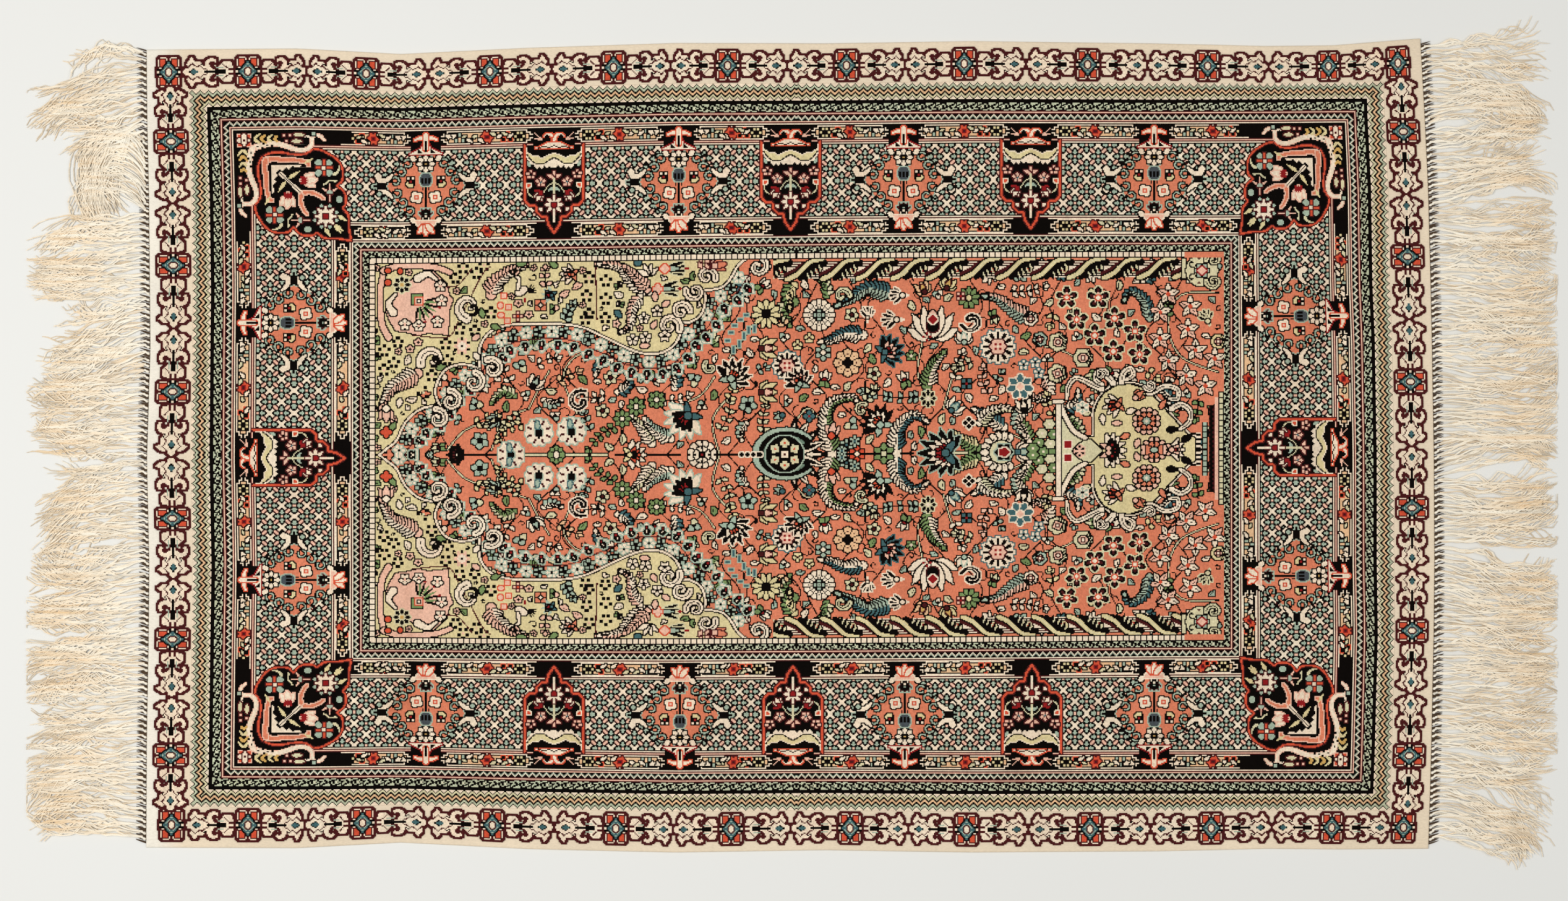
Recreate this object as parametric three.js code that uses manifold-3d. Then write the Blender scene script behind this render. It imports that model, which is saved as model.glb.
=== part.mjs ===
// A small silk prayer rug lying flat on the floor: one woven body with a flat-woven outer border, a knotted pile
// middle and raised rosettes and palmettes, and a knotted fringe along each short edge.
// Millimetres. X runs along the rug, Y across it, Z up from the floor.
import * as THREE from 'three';
import { mergeVertices } from 'three/addons/utils/BufferGeometryUtils.js';
import Module from 'manifold-3d';

const wasm = await Module();
wasm.setup();

// Driving dimensions of the woven body
const halfLength = 601; // middle of the rug to its short edge
const halfWidth = 377; // middle of the rug to its long edge
const lineX = 541.8; // middle to the dark guard line, along the rug
const lineY = 321.9; // middle to the dark guard line, across the rug
const pileBeyondLine = 16.5; // the knotted middle starts this far outside the dark line
const groundThick = 2.0; // flat-woven outer border
const pileThick = 3.4; // knotted middle
const motifThick = 3.2; // rosettes and palmettes, standing proud of the flat weave
const edgeStep = 40; // longest straight stretch of an outline

// Raised motifs of the outer border
const motifInset = 22.6; // long edge of the body to the middle of the chain of motifs
const motifInsetEnd = 22; // the same from a short edge
const rosettesAlong = 10;
const rosettesAcross = 6;
const rosettePitchAlong = 112.4;
const rosettePitchAcross = 115.4;
const rosetteReach = { along: 13.5, across: 16.9 }; // middle to the lobes that stand at its corners
const palmetteStart = 14.4; // middle of a rosette to where the palmette beside it starts
const palmetteGap = 1.2; // between two palmettes that meet tip to tip

// Fringe
const backingGap = 0.3; // between the body's edge and the row of knots
const backingWidth = 3.4;
const backingThick = 1.9;
const locksPerSide = 132;
const locksPerStep = 11; // locks between two corners of the row of knots
const endSpare = 0.4; // the row of knots stops this far short of the stretch the locks share
const rootDepth = 2.0; // how deep a lock's root is fused into the row of knots
const unevenReach = { slow: 1.3, quick: 2.2 }; // how much longer or shorter than their neighbours locks are
const sway = { width: 2.5, every: 145 }; // locks lean together one way and the other along the edge

// How far the weave has drifted from a true rectangle. Each row gives, at one place along the rug, how far the long
// edges, the dark lines, the edges of the field and the middle line lie towards +Y.
const driftAcross = [
  { x: -603, topEdge: -4.6, topLine: -6.0, topField: -6.0, axis: -7.0, lowField: 0.0, lowLine: 3.5, lowEdge: 2.3 },
  { x: -464, topEdge: -3.5, topLine: -3.5, topField: -6.0, axis: -7.0, lowField: 0.0, lowLine: 3.2, lowEdge: 1.9 },
  { x: -371, topEdge: -8.7, topLine: -5.8, topField: -5.8, axis: -7.0, lowField: 0.0, lowLine: 4.1, lowEdge: 7.0 },
  { x: -252, topEdge: -2.9, topLine: -2.3, topField: -4.6, axis: -7.0, lowField: -1.0, lowLine: 1.2, lowEdge: 0.9 },
  { x: -113, topEdge: 1.7, topLine: 0.6, topField: -2.6, axis: -7.0, lowField: -1.0, lowLine: -0.9, lowEdge: -2.3 },
  { x: 26, topEdge: 1.2, topLine: 1.2, topField: -1.0, axis: -6.5, lowField: -0.3, lowLine: 0.0, lowEdge: 0.0 },
  { x: 165, topEdge: 3.5, topLine: 2.6, topField: -0.3, axis: -5.0, lowField: 0.9, lowLine: -1.0, lowEdge: -2.3 },
  { x: 339, topEdge: 1.2, topLine: 2.0, topField: 0.0, axis: -2.3, lowField: 2.5, lowLine: -0.6, lowEdge: -1.2 },
  { x: 444, topEdge: -1.2, topLine: 2.3, topField: 0.5, axis: -1.4, lowField: 2.9, lowLine: -0.6, lowEdge: 1.2 },
  { x: 513, topEdge: -0.6, topLine: 2.9, topField: 1.0, axis: -1.2, lowField: 2.9, lowLine: -0.6, lowEdge: 0.6 },
  { x: 599, topEdge: 5.8, topLine: 3.0, topField: 1.0, axis: -1.2, lowField: 2.9, lowLine: -0.6, lowEdge: 1.2 },
];
// The same at one place across the rug, for the short edges and the lines beside them, towards +X.
const driftAlong = [
  { y: 377, leftEdge: -3.5, leftLine: -2.8, leftField: 4.3, rightField: 4.4, rightLine: -8.1, rightEdge: -12.2 },
  { y: 309, leftEdge: -2.8, leftLine: -1.7, leftField: 4.3, rightField: 4.4, rightLine: -6.4, rightEdge: -8.1 },
  { y: 240, leftEdge: -1.2, leftLine: 0.6, leftField: 4.3, rightField: 4.4, rightLine: -2.9, rightEdge: -4.6 },
  { y: 152, leftEdge: -0.5, leftLine: 1.8, leftField: 4.3, rightField: 4.4, rightLine: -1.7, rightEdge: -2.3 },
  { y: 100, leftEdge: 0.0, leftLine: 1.2, leftField: 4.3, rightField: 4.4, rightLine: 0.6, rightEdge: -1.2 },
  { y: -4, leftEdge: -3.1, leftLine: 0.6, leftField: 4.3, rightField: 4.4, rightLine: 2.3, rightEdge: 0.6 },
  { y: -108, leftEdge: -1.0, leftLine: 2.4, leftField: 4.3, rightField: 4.4, rightLine: 2.3, rightEdge: 1.2 },
  { y: -178, leftEdge: -1.6, leftLine: 1.2, leftField: 4.3, rightField: 4.4, rightLine: 3.5, rightEdge: 0.6 },
  { y: -282, leftEdge: -3.4, leftLine: 0.0, leftField: 4.3, rightField: 4.4, rightLine: 0.6, rightEdge: -1.7 },
  { y: -377, leftEdge: -3.9, leftLine: -1.1, leftField: 4.3, rightField: 4.4, rightLine: -2.9, rightEdge: -4.6 },
];
// Where each column of the tables above lies on the true rectangle
const rowsAcross = [
  { name: 'lowEdge', at: -halfWidth },
  { name: 'lowLine', at: -lineY },
  { name: 'lowField', at: -178 },
  { name: 'axis', at: 0 },
  { name: 'topField', at: 178 },
  { name: 'topLine', at: lineY },
  { name: 'topEdge', at: halfWidth },
];
const rowsAlong = [
  { name: 'leftEdge', at: -halfLength },
  { name: 'leftLine', at: -lineX },
  { name: 'leftField', at: -396.4 },
  { name: 'rightField', at: 396.4 },
  { name: 'rightLine', at: lineX },
  { name: 'rightEdge', at: halfLength },
];

// The fringe hangs together in sheaves. Each row gives the stretch of edge a sheaf is knotted to, where its tips lie
// across the rug, and how far they reach out from the edge.
const leftSheaves = [
  { rootFrom: 373, rootTo: 357, tipFrom: 402, tipTo: 373, reachFrom: 64, reachTo: 68 },
  { rootFrom: 357, rootTo: 321, tipFrom: 343, tipTo: 303, reachFrom: 100, reachTo: 82 },
  { rootFrom: 321, rootTo: 300, tipFrom: 298, tipTo: 280, reachFrom: 80, reachTo: 62 },
  { rootFrom: 300, rootTo: 219, tipFrom: 275, tipTo: 222, reachFrom: 56, reachTo: 36 },
  { rootFrom: 219, rootTo: 187, tipFrom: 216, tipTo: 191, reachFrom: 90, reachTo: 100 },
  { rootFrom: 187, rootTo: 142, tipFrom: 188, tipTo: 134, reachFrom: 99, reachTo: 96 },
  { rootFrom: 142, rootTo: 126, tipFrom: 128, tipTo: 118, reachFrom: 72, reachTo: 62 },
  { rootFrom: 126, rootTo: 65, tipFrom: 98, tipTo: 61, reachFrom: 86, reachTo: 86 },
  { rootFrom: 65, rootTo: 28, tipFrom: 57, tipTo: 28, reachFrom: 98, reachTo: 98 },
  { rootFrom: 28, rootTo: -4, tipFrom: 22, tipTo: -6, reachFrom: 95, reachTo: 94 },
  { rootFrom: -4, rootTo: -33, tipFrom: -13, tipTo: -37, reachFrom: 88, reachTo: 84 },
  { rootFrom: -33, rootTo: -91, tipFrom: -43, tipTo: -90, reachFrom: 95, reachTo: 92 },
  { rootFrom: -91, rootTo: -161, tipFrom: -103, tipTo: -166, reachFrom: 100, reachTo: 102 },
  { rootFrom: -161, rootTo: -236, tipFrom: -176, tipTo: -232, reachFrom: 106, reachTo: 104 },
  { rootFrom: -236, rootTo: -282, tipFrom: -239, tipTo: -277, reachFrom: 94, reachTo: 90 },
  { rootFrom: -282, rootTo: -373, tipFrom: -283, tipTo: -364, reachFrom: 106, reachTo: 92 },
];
const rightSheaves = [
  { rootFrom: 379, rootTo: 351, tipFrom: 389, tipTo: 349, reachFrom: 108, reachTo: 106 },
  { rootFrom: 351, rootTo: 298, tipFrom: 343, tipTo: 310, reachFrom: 96, reachTo: 92 },
  { rootFrom: 298, rootTo: 238, tipFrom: 304, tipTo: 254, reachFrom: 92, reachTo: 90 },
  { rootFrom: 238, rootTo: 187, tipFrom: 243, tipTo: 190, reachFrom: 106, reachTo: 106 },
  { rootFrom: 187, rootTo: 95, tipFrom: 186, tipTo: 94, reachFrom: 108, reachTo: 107 },
  { rootFrom: 95, rootTo: 13, tipFrom: 90, tipTo: 18, reachFrom: 106, reachTo: 106 },
  { rootFrom: 13, rootTo: -33, tipFrom: 12, tipTo: -30, reachFrom: 100, reachTo: 98 },
  { rootFrom: -33, rootTo: -65, tipFrom: -34, tipTo: -56, reachFrom: 106, reachTo: 96 },
  { rootFrom: -65, rootTo: -94, tipFrom: -62, tipTo: -92, reachFrom: 106, reachTo: 106 },
  { rootFrom: -94, rootTo: -167, tipFrom: -106, tipTo: -166, reachFrom: 108, reachTo: 106 },
  { rootFrom: -167, rootTo: -195, tipFrom: -171, tipTo: -192, reachFrom: 104, reachTo: 104 },
  { rootFrom: -195, rootTo: -242, tipFrom: -197, tipTo: -242, reachFrom: 106, reachTo: 106 },
  { rootFrom: -242, rootTo: -287, tipFrom: -246, tipTo: -281, reachFrom: 108, reachTo: 100 },
  { rootFrom: -287, rootTo: -330, tipFrom: -296, tipTo: -341, reachFrom: 100, reachTo: 94 },
  { rootFrom: -330, rootTo: -373, tipFrom: -349, tipTo: -391, reachFrom: 94, reachTo: 82 },
];
// A lock's three-sided section at places from its root to its tip: width, underside and top above the floor
const lockSections = [
  { along: 0.0, width: 2.2, under: 0.4, top: 1.5 }, // inside the row of knots
  { along: 0.08, width: 3.5, under: 0, top: 1.7 },
  { along: 0.45, width: 2.9, under: 0, top: 1.5 },
  { along: 1.0, width: 1.1, under: 0, top: 0.8 },
];

// Value of one column of a table whose rows run up or down in another column
function lookUp(rows, keyName, key, valueName) {
  const last = rows.length - 2;
  let i = 0;
  while (i < last && (rows[i + 1][keyName] - key) * (rows[last + 1][keyName] - rows[0][keyName]) < 0) i += 1;
  const a = rows[i];
  const b = rows[i + 1];
  const t = THREE.MathUtils.clamp((key - a[keyName]) / (b[keyName] - a[keyName]), 0, 1);
  return a[valueName] + (b[valueName] - a[valueName]) * t;
}

function drift(rowsHere, table, keyName, key, place) {
  const at = THREE.MathUtils.clamp(place, rowsHere[0].at, rowsHere[rowsHere.length - 1].at);
  const found = rowsHere.map((row) => ({ at: row.at, value: lookUp(table, keyName, key, row.name) }));
  return lookUp(found, 'at', at, 'value');
}

// A place on the true rectangle, moved to where it lies on the real, slightly uneven rug
function woven(x, y) {
  return new THREE.Vector2(
    x + drift(rowsAlong, driftAlong, 'y', y, x),
    y + drift(rowsAcross, driftAcross, 'x', x, y),
  );
}

// Corners of a rectangle with its sides cut into short stretches, as points on the uneven rug
function wovenRectangle(halfX, halfY) {
  const corners = [
    [-halfX, -halfY],
    [halfX, -halfY],
    [halfX, halfY],
    [-halfX, halfY],
  ];
  return corners.flatMap(([x, y], i) => {
    const [nextX, nextY] = corners[(i + 1) % corners.length];
    const steps = Math.ceil(Math.hypot(nextX - x, nextY - y) / edgeStep);
    return Array.from({ length: steps }, (_, k) =>
      woven(x + ((nextX - x) * k) / steps, y + ((nextY - y) * k) / steps),
    );
  });
}

function solidOf(geometry) {
  geometry.deleteAttribute('normal');
  geometry.deleteAttribute('uv');
  const merged = mergeVertices(geometry, 1e-4);
  return new wasm.Manifold(
    new wasm.Mesh({
      numProp: 3,
      vertProperties: new Float32Array(merged.attributes.position.array),
      triVerts: new Uint32Array(merged.index.array),
    }),
  );
}

function geometryOf(solid) {
  const mesh = solid.getMesh();
  const geometry = new THREE.BufferGeometry();
  geometry.setAttribute('position', new THREE.BufferAttribute(new Float32Array(mesh.vertProperties), 3));
  geometry.setIndex(new THREE.BufferAttribute(new Uint32Array(mesh.triVerts), 1));
  geometry.computeVertexNormals();
  return geometry;
}

// A flat plate of the given outline, standing on the floor
function plate(outline, thick) {
  return solidOf(new THREE.ExtrudeGeometry(new THREE.Shape(outline), { depth: thick, bevelEnabled: false }));
}

// Four-lobed rosette: lobes at the corners, notches between them
function rosetteOutline() {
  const lobeShare = 0.25; // how far a notch cuts in from the lobes' reach
  const points = 12;
  return Array.from({ length: points }, (_, i) => {
    const angle = (2 * Math.PI * i) / points;
    const reach = i % 3 === 0 ? 1 - lobeShare : 1;
    return new THREE.Vector2(
      rosetteReach.along * reach * Math.cos(angle),
      rosetteReach.across * reach * Math.sin(angle),
    );
  });
}

// Palmette beside a rosette, from its foot to its tip, as half outlines: leaves at the foot, waist, lily, tip.
// It is drawn for a length of one and stretched to the room between two rosettes.
const palmetteHalf = [
  { along: 0.0, across: 6.0 },
  { along: 0.12, across: 12.8 },
  { along: 0.38, across: 8.0 },
  { along: 0.55, across: 13.2 },
  { along: 0.66, across: 7.2 },
  { along: 0.84, across: 13.4 },
  { along: 1.0, across: 1.6 },
];

function palmetteOutline(length) {
  const upper = palmetteHalf.map((p) => new THREE.Vector2(p.along * length, p.across));
  const lower = palmetteHalf.map((p) => new THREE.Vector2(p.along * length, -p.across)).reverse();
  return [...upper, ...lower];
}

// A motif outline laid on the rug at a place, turned by quarter turns, and moved with the weave
function laidMotif(outline, x, y, angle) {
  const cos = Math.round(Math.cos(angle));
  const sin = Math.round(Math.sin(angle));
  const laid = outline.map((p) => woven(x + cos * p.x - sin * p.y, y + sin * p.x + cos * p.y));
  return plate(THREE.ShapeUtils.isClockWise(laid) ? laid.reverse() : laid, motifThick);
}

// Places of the rosettes along one side, from corner to corner
function rosettePlaces(count, pitch, corner) {
  const middle = Array.from({ length: count }, (_, i) => (i - (count - 1) / 2) * pitch);
  return [-corner, ...middle, corner];
}

// The motifs of one side: a rosette at each place but the last corner, which the next side starts with, and palmettes
// with their feet at the rosettes between the corners, meeting tip to tip or pointing at a corner
function motifChain(places, placeAt, angle) {
  const lastCorner = places.length - 1;
  const pads = [];
  for (let i = 0; i < lastCorner; i += 1) {
    const room = places[i + 1] - places[i] - 2 * palmetteStart;
    const paired = i > 0 && i + 1 < lastCorner;
    const length = paired ? (room - palmetteGap) / 2 : room;
    pads.push({ outline: rosetteOutline(), place: placeAt(places[i]), turn: angle });
    if (i > 0) {
      pads.push({ outline: palmetteOutline(length), place: placeAt(places[i] + palmetteStart), turn: angle });
    }
    if (i + 1 < lastCorner) {
      const place = placeAt(places[i + 1] - palmetteStart);
      pads.push({ outline: palmetteOutline(length), place, turn: angle + Math.PI });
    }
  }
  return pads.map(({ outline, place, turn }) => laidMotif(outline, place[0], place[1], turn));
}

function buildBody() {
  const sideY = halfWidth - motifInset;
  const sideX = halfLength - motifInsetEnd;
  const along = rosettePlaces(rosettesAlong, rosettePitchAlong, sideX);
  const across = rosettePlaces(rosettesAcross, rosettePitchAcross, sideY);
  const pads = [
    ...motifChain(along, (s) => [-s, sideY], Math.PI),
    ...motifChain(along, (s) => [s, -sideY], 0),
    ...motifChain(across, (s) => [sideX, s], Math.PI / 2),
    ...motifChain(across, (s) => [-sideX, -s], -Math.PI / 2),
  ];
  const middle = plate(wovenRectangle(lineX + pileBeyondLine, lineY + pileBeyondLine), pileThick);
  const cloth = plate(wovenRectangle(halfLength, halfWidth), groundThick).add(middle);
  return pads.reduce((whole, pad) => whole.add(pad), cloth);
}

// The place of the body's short edge at a height across the rug
function edgeX(side, y) {
  return side * halfLength + lookUp(driftAlong, 'y', y, side < 0 ? 'leftEdge' : 'rightEdge');
}

// The row of knots. Its corners lie midway between two locks, so that no lock's root meets one.
function buildBacking(side, from, to) {
  const steps = locksPerSide / locksPerStep;
  const near = [];
  const far = [];
  for (let i = 0; i <= steps; i += 1) {
    const y = THREE.MathUtils.clamp(from + ((to - from) * i) / steps, to + endSpare, from - endSpare);
    near.push(new THREE.Vector2(edgeX(side, y) + side * backingGap, y));
    far.push(new THREE.Vector2(edgeX(side, y) + side * (backingGap + backingWidth), y));
  }
  const outline = [...near, ...far.reverse()];
  return plate(THREE.ShapeUtils.isClockWise(outline) ? outline.reverse() : outline, backingThick);
}

// One lock of the fringe: a three-sided strand with its flat side on the floor
function buildLock(side, rootY, tipY, reach, lean) {
  const rootX = edgeX(side, rootY) + side * (backingGap + backingWidth - rootDepth);
  const ring = lockSections.map(({ along, width, under, top }) => {
    const bend = along * along * (3 - 2 * along);
    const y = rootY + (tipY - rootY) * bend + lean * Math.sin(Math.PI * along) * along;
    const x = rootX + side * reach * along;
    return [
      [x, y - width / 2, under],
      [x, y + width / 2, under],
      [x, y, top],
    ];
  });
  const last = ring.length - 1;
  const triangles = [[0, 1, 2]];
  for (let k = 0; k < last; k += 1) {
    for (let i = 0; i < 3; i += 1) {
      const a = 3 * k + i;
      const b = 3 * k + ((i + 1) % 3);
      triangles.push([a, a + 3, b], [b, a + 3, b + 3]);
    }
  }
  triangles.push([3 * last, 3 * last + 2, 3 * last + 1]);
  const facesOut = side < 0 ? triangles : triangles.map(([a, b, c]) => [a, c, b]);
  const geometry = new THREE.BufferGeometry();
  geometry.setAttribute('position', new THREE.Float32BufferAttribute(ring.flat(2), 3));
  geometry.setIndex(facesOut.flat());
  return solidOf(geometry);
}

function buildFringe(side, sheaves) {
  const from = sheaves[0].rootFrom;
  const to = sheaves[sheaves.length - 1].rootTo;
  const locks = [];
  const pitch = (from - to) / locksPerSide;
  for (let i = 0; i < locksPerSide; i += 1) {
    const y = from - (i + 0.5) * pitch;
    const sheaf = sheaves.find((row) => y <= row.rootFrom && y >= row.rootTo);
    const share = (sheaf.rootFrom - y) / (sheaf.rootFrom - sheaf.rootTo);
    const tipY = sheaf.tipFrom + (sheaf.tipTo - sheaf.tipFrom) * share;
    const uneven = unevenReach.slow * Math.sin(i * 0.9) + unevenReach.quick * Math.sin(i * 2.4);
    const reach = sheaf.reachFrom + (sheaf.reachTo - sheaf.reachFrom) * share + uneven;
    locks.push(buildLock(side, y, tipY, reach, sway.width * Math.sin((2 * Math.PI * y) / sway.every)));
  }
  return locks.reduce((whole, lock) => whole.add(lock), buildBacking(side, from, to));
}

const silk = new THREE.MeshStandardMaterial({ color: 0xcb8d6c, roughness: 0.55, metalness: 0.0 });
const warpYarnLeft = new THREE.MeshStandardMaterial({ color: 0xe6d8c0, roughness: 0.7, metalness: 0.0 });
const warpYarnRight = new THREE.MeshStandardMaterial({ color: 0xe9dcc6, roughness: 0.7, metalness: 0.0 });

function namedMesh(name, solid, material) {
  const mesh = new THREE.Mesh(geometryOf(solid), material);
  mesh.name = name;
  return mesh;
}

const rug = new THREE.Group();
rug.add(namedMesh('rug_body', buildBody(), silk));
rug.add(namedMesh('fringe_left', buildFringe(-1, leftSheaves), warpYarnLeft));
rug.add(namedMesh('fringe_right', buildFringe(1, rightSheaves), warpYarnRight));

// The origin is the middle of the whole rug, on the floor
const bounds = new THREE.Box3().setFromObject(rug);
const centre = bounds.getCenter(new THREE.Vector3());
rug.position.set(-centre.x, -centre.y, -bounds.min.z);

export default rug;
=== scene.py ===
import math
import bpy
import numpy as np
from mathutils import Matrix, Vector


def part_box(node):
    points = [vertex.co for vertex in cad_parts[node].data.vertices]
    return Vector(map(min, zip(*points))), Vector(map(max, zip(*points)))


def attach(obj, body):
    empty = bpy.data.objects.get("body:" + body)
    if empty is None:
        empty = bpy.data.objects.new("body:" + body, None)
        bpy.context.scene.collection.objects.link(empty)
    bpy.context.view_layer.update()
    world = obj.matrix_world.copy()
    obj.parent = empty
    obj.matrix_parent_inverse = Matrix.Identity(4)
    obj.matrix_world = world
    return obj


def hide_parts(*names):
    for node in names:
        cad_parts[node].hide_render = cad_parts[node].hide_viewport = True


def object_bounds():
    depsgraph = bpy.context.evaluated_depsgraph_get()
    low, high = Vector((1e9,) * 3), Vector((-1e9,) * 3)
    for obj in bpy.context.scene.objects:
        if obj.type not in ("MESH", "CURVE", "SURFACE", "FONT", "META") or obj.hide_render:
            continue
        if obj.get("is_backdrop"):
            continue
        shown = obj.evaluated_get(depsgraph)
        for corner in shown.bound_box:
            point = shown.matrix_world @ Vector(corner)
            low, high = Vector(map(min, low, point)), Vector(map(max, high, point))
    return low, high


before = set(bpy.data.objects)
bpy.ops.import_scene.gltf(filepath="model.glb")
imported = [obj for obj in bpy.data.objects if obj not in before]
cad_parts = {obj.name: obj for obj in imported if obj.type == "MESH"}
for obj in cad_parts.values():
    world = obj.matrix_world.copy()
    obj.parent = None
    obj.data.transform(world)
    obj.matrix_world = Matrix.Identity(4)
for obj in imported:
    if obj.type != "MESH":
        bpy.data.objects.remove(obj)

cadBox = [list(corner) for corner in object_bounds()]
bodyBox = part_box("rug_body")
mm = 0.001
print("rug: frame loaded")

# Sizes of the weave, in millimetres; the knots are counted on half the rug
weave = {
    "halfLength": 601.0,
    "halfWidth": 377.0,
    "lineX": 541.8,
    "lineY": 321.9,
    "fieldX": 396.4,
    "fieldY": 178.0,
    "halfKnotsAlong": 551,
    "halfKnotsAcross": 359,
    "groundThick": 2.0,
    "pileThick": 3.4,
    "motifThick": 3.2,
    "swell": 0.9,
}
knotX = weave["halfLength"] / weave["halfKnotsAlong"]
knotY = weave["halfWidth"] / weave["halfKnotsAcross"]

# How far the weave has drifted from a true rectangle towards +Y, at places along the rug
driftAcross = [
    # x, lowEdge, lowLine, lowField, axis, topField, topLine, topEdge
    (-603, 2.3, 3.5, 0.0, -7.0, -6.0, -6.0, -4.6),
    (-464, 1.9, 3.2, 0.0, -7.0, -6.0, -3.5, -3.5),
    (-371, 7.0, 4.1, 0.0, -7.0, -5.8, -5.8, -8.7),
    (-252, 0.9, 1.2, -1.0, -7.0, -4.6, -2.3, -2.9),
    (-113, -2.3, -0.9, -1.0, -7.0, -2.6, 0.6, 1.7),
    (26, 0.0, 0.0, -0.3, -6.5, -1.0, 1.2, 1.2),
    (165, -2.3, -1.0, 0.9, -5.0, -0.3, 2.6, 3.5),
    (339, -1.2, -0.6, 2.5, -2.3, 0.0, 2.0, 1.2),
    (444, 1.2, -0.6, 2.9, -1.4, 0.5, 2.3, -1.2),
    (513, 0.6, -0.6, 2.9, -1.2, 1.0, 2.9, -0.6),
    (599, 1.2, -0.6, 2.9, -1.2, 1.0, 3.0, 5.8),
]
# The same towards +X, at places across the rug
driftAlong = [
    # y, leftEdge, leftLine, leftField, rightField, rightLine, rightEdge
    (-377, -3.9, -1.1, 4.3, 4.4, -2.9, -4.6),
    (-282, -3.4, 0.0, 4.3, 4.4, 0.6, -1.7),
    (-178, -1.6, 1.2, 4.3, 4.4, 3.5, 0.6),
    (-108, -1.0, 2.4, 4.3, 4.4, 2.3, 1.2),
    (-4, -3.1, 0.6, 4.3, 4.4, 2.3, 0.6),
    (100, 0.0, 1.2, 4.3, 4.4, 0.6, -1.2),
    (152, -0.5, 1.8, 4.3, 4.4, -1.7, -2.3),
    (240, -1.2, 0.6, 4.3, 4.4, -2.9, -4.6),
    (309, -2.8, -1.7, 4.3, 4.4, -6.4, -8.1),
    (377, -3.5, -2.8, 4.3, 4.4, -8.1, -12.2),
]
levelsAcross = [-weave["halfWidth"], -weave["lineY"], -weave["fieldY"], 0.0]
levelsAcross += [-level for level in reversed(levelsAcross[:3])]
levelsAlong = [-weave["halfLength"], -weave["lineX"], -weave["fieldX"]]
levelsAlong += [-level for level in reversed(levelsAlong)]


def driftOf(place, levels, along, table):
    rows = np.array(table, float)
    place = np.clip(place, levels[0], levels[-1])
    total = np.zeros(np.broadcast(place, along).shape)
    for k in range(len(levels) - 1):
        low = np.interp(along, rows[:, 0], rows[:, k + 1])
        high = np.interp(along, rows[:, 0], rows[:, k + 2])
        share = (place - levels[k]) / (levels[k + 1] - levels[k])
        inside = (place >= levels[k]) & (place <= levels[k + 1])
        total = np.where(inside, low + (high - low) * share, total)
    return total


# A place on the true rectangle, moved to where it lies on the real, slightly uneven rug
def woven(x, y):
    x = np.asarray(x, float)
    y = np.asarray(y, float)
    return x + driftOf(x, levelsAlong, y, driftAlong), y + driftOf(y, levelsAcross, x, driftAcross)


def rimPoints(halfX, halfY, step=40.0):
    corners = [(-halfX, -halfY), (halfX, -halfY), (halfX, halfY), (-halfX, halfY)]
    xs, ys = [], []
    for i, (x, y) in enumerate(corners):
        nextX, nextY = corners[(i + 1) % 4]
        count = math.ceil(math.hypot(nextX - x, nextY - y) / step)
        xs += [x + (nextX - x) * k / count for k in range(count)]
        ys += [y + (nextY - y) * k / count for k in range(count)]
    return woven(xs, ys)


rimX, rimY = rimPoints(weave["halfLength"], weave["halfWidth"])
shiftX = bodyBox[0][0] / mm - rimX.min()
shiftY = bodyBox[0][1] / mm - rimY.min()


# The cloth lies almost flat, with long low swells that fade out at its rim
def swellAt(x, y):
    wave = 0.5 + 0.22 * np.sin(x / 83.0 + 1.3) * np.cos(y / 61.0)
    wave = wave + 0.16 * np.sin(x / 47.0 - y / 71.0 + 0.4) + 0.12 * np.sin(y / 37.0 + x / 140.0)
    return weave["swell"] * np.clip(wave, 0.0, 1.0)


def meshPiece(name, places, faces, material, smooth=True):
    mesh = bpy.data.meshes.new(name)
    mesh.from_pydata(np.asarray(places, float) * mm, [], faces)
    mesh.update()
    if smooth:
        mesh.shade_smooth()
    piece = bpy.data.objects.new(name, mesh)
    bpy.context.collection.objects.link(piece)
    piece.data.materials.append(material)
    return piece


# Bake map seen from straight above
def mapFromAbove(piece):
    mesh = piece.data
    places = np.empty(len(mesh.vertices) * 3)
    mesh.vertices.foreach_get("co", places)
    places = places.reshape(-1, 3)[:, :2]
    low = places.min(axis=0)
    size = (places.max(axis=0) - low).max()
    corners = np.empty(len(mesh.loops), int)
    mesh.loops.foreach_get("vertex_index", corners)
    layer = mesh.uv_layers.new(name="OFBake")
    layer.data.foreach_set("uv", ((places[corners] - low) / size * 0.98 + 0.01).ravel())


def linear(colour):
    return tuple(
        (c / 255 / 12.92) if c / 255 <= 0.04045 else ((c / 255 + 0.055) / 1.055) ** 2.4 for c in colour
    )


yarns = {
    "ivory": (246, 229, 201),
    "black": (13, 9, 7),
    "wine": (72, 14, 14),
    "red": (146, 20, 22),
    "orange": (216, 84, 54),
    "salmon": (224, 132, 98),
    "pink": (240, 192, 166),
    "tan": (236, 194, 148),
    "teal": (66, 104, 106),
    "mint": (168, 188, 166),
    "sage": (196, 204, 172),
    "lime": (226, 212, 158),
    "gold": (212, 172, 96),
    "green": (122, 148, 92),
    "jade": (112, 138, 118),
    "celery": (220, 214, 172),
    "slate": (72, 80, 84),
}
yarnNames = list(yarns)
yarn = {name: index for index, name in enumerate(yarnNames)}
bare = -1


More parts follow.
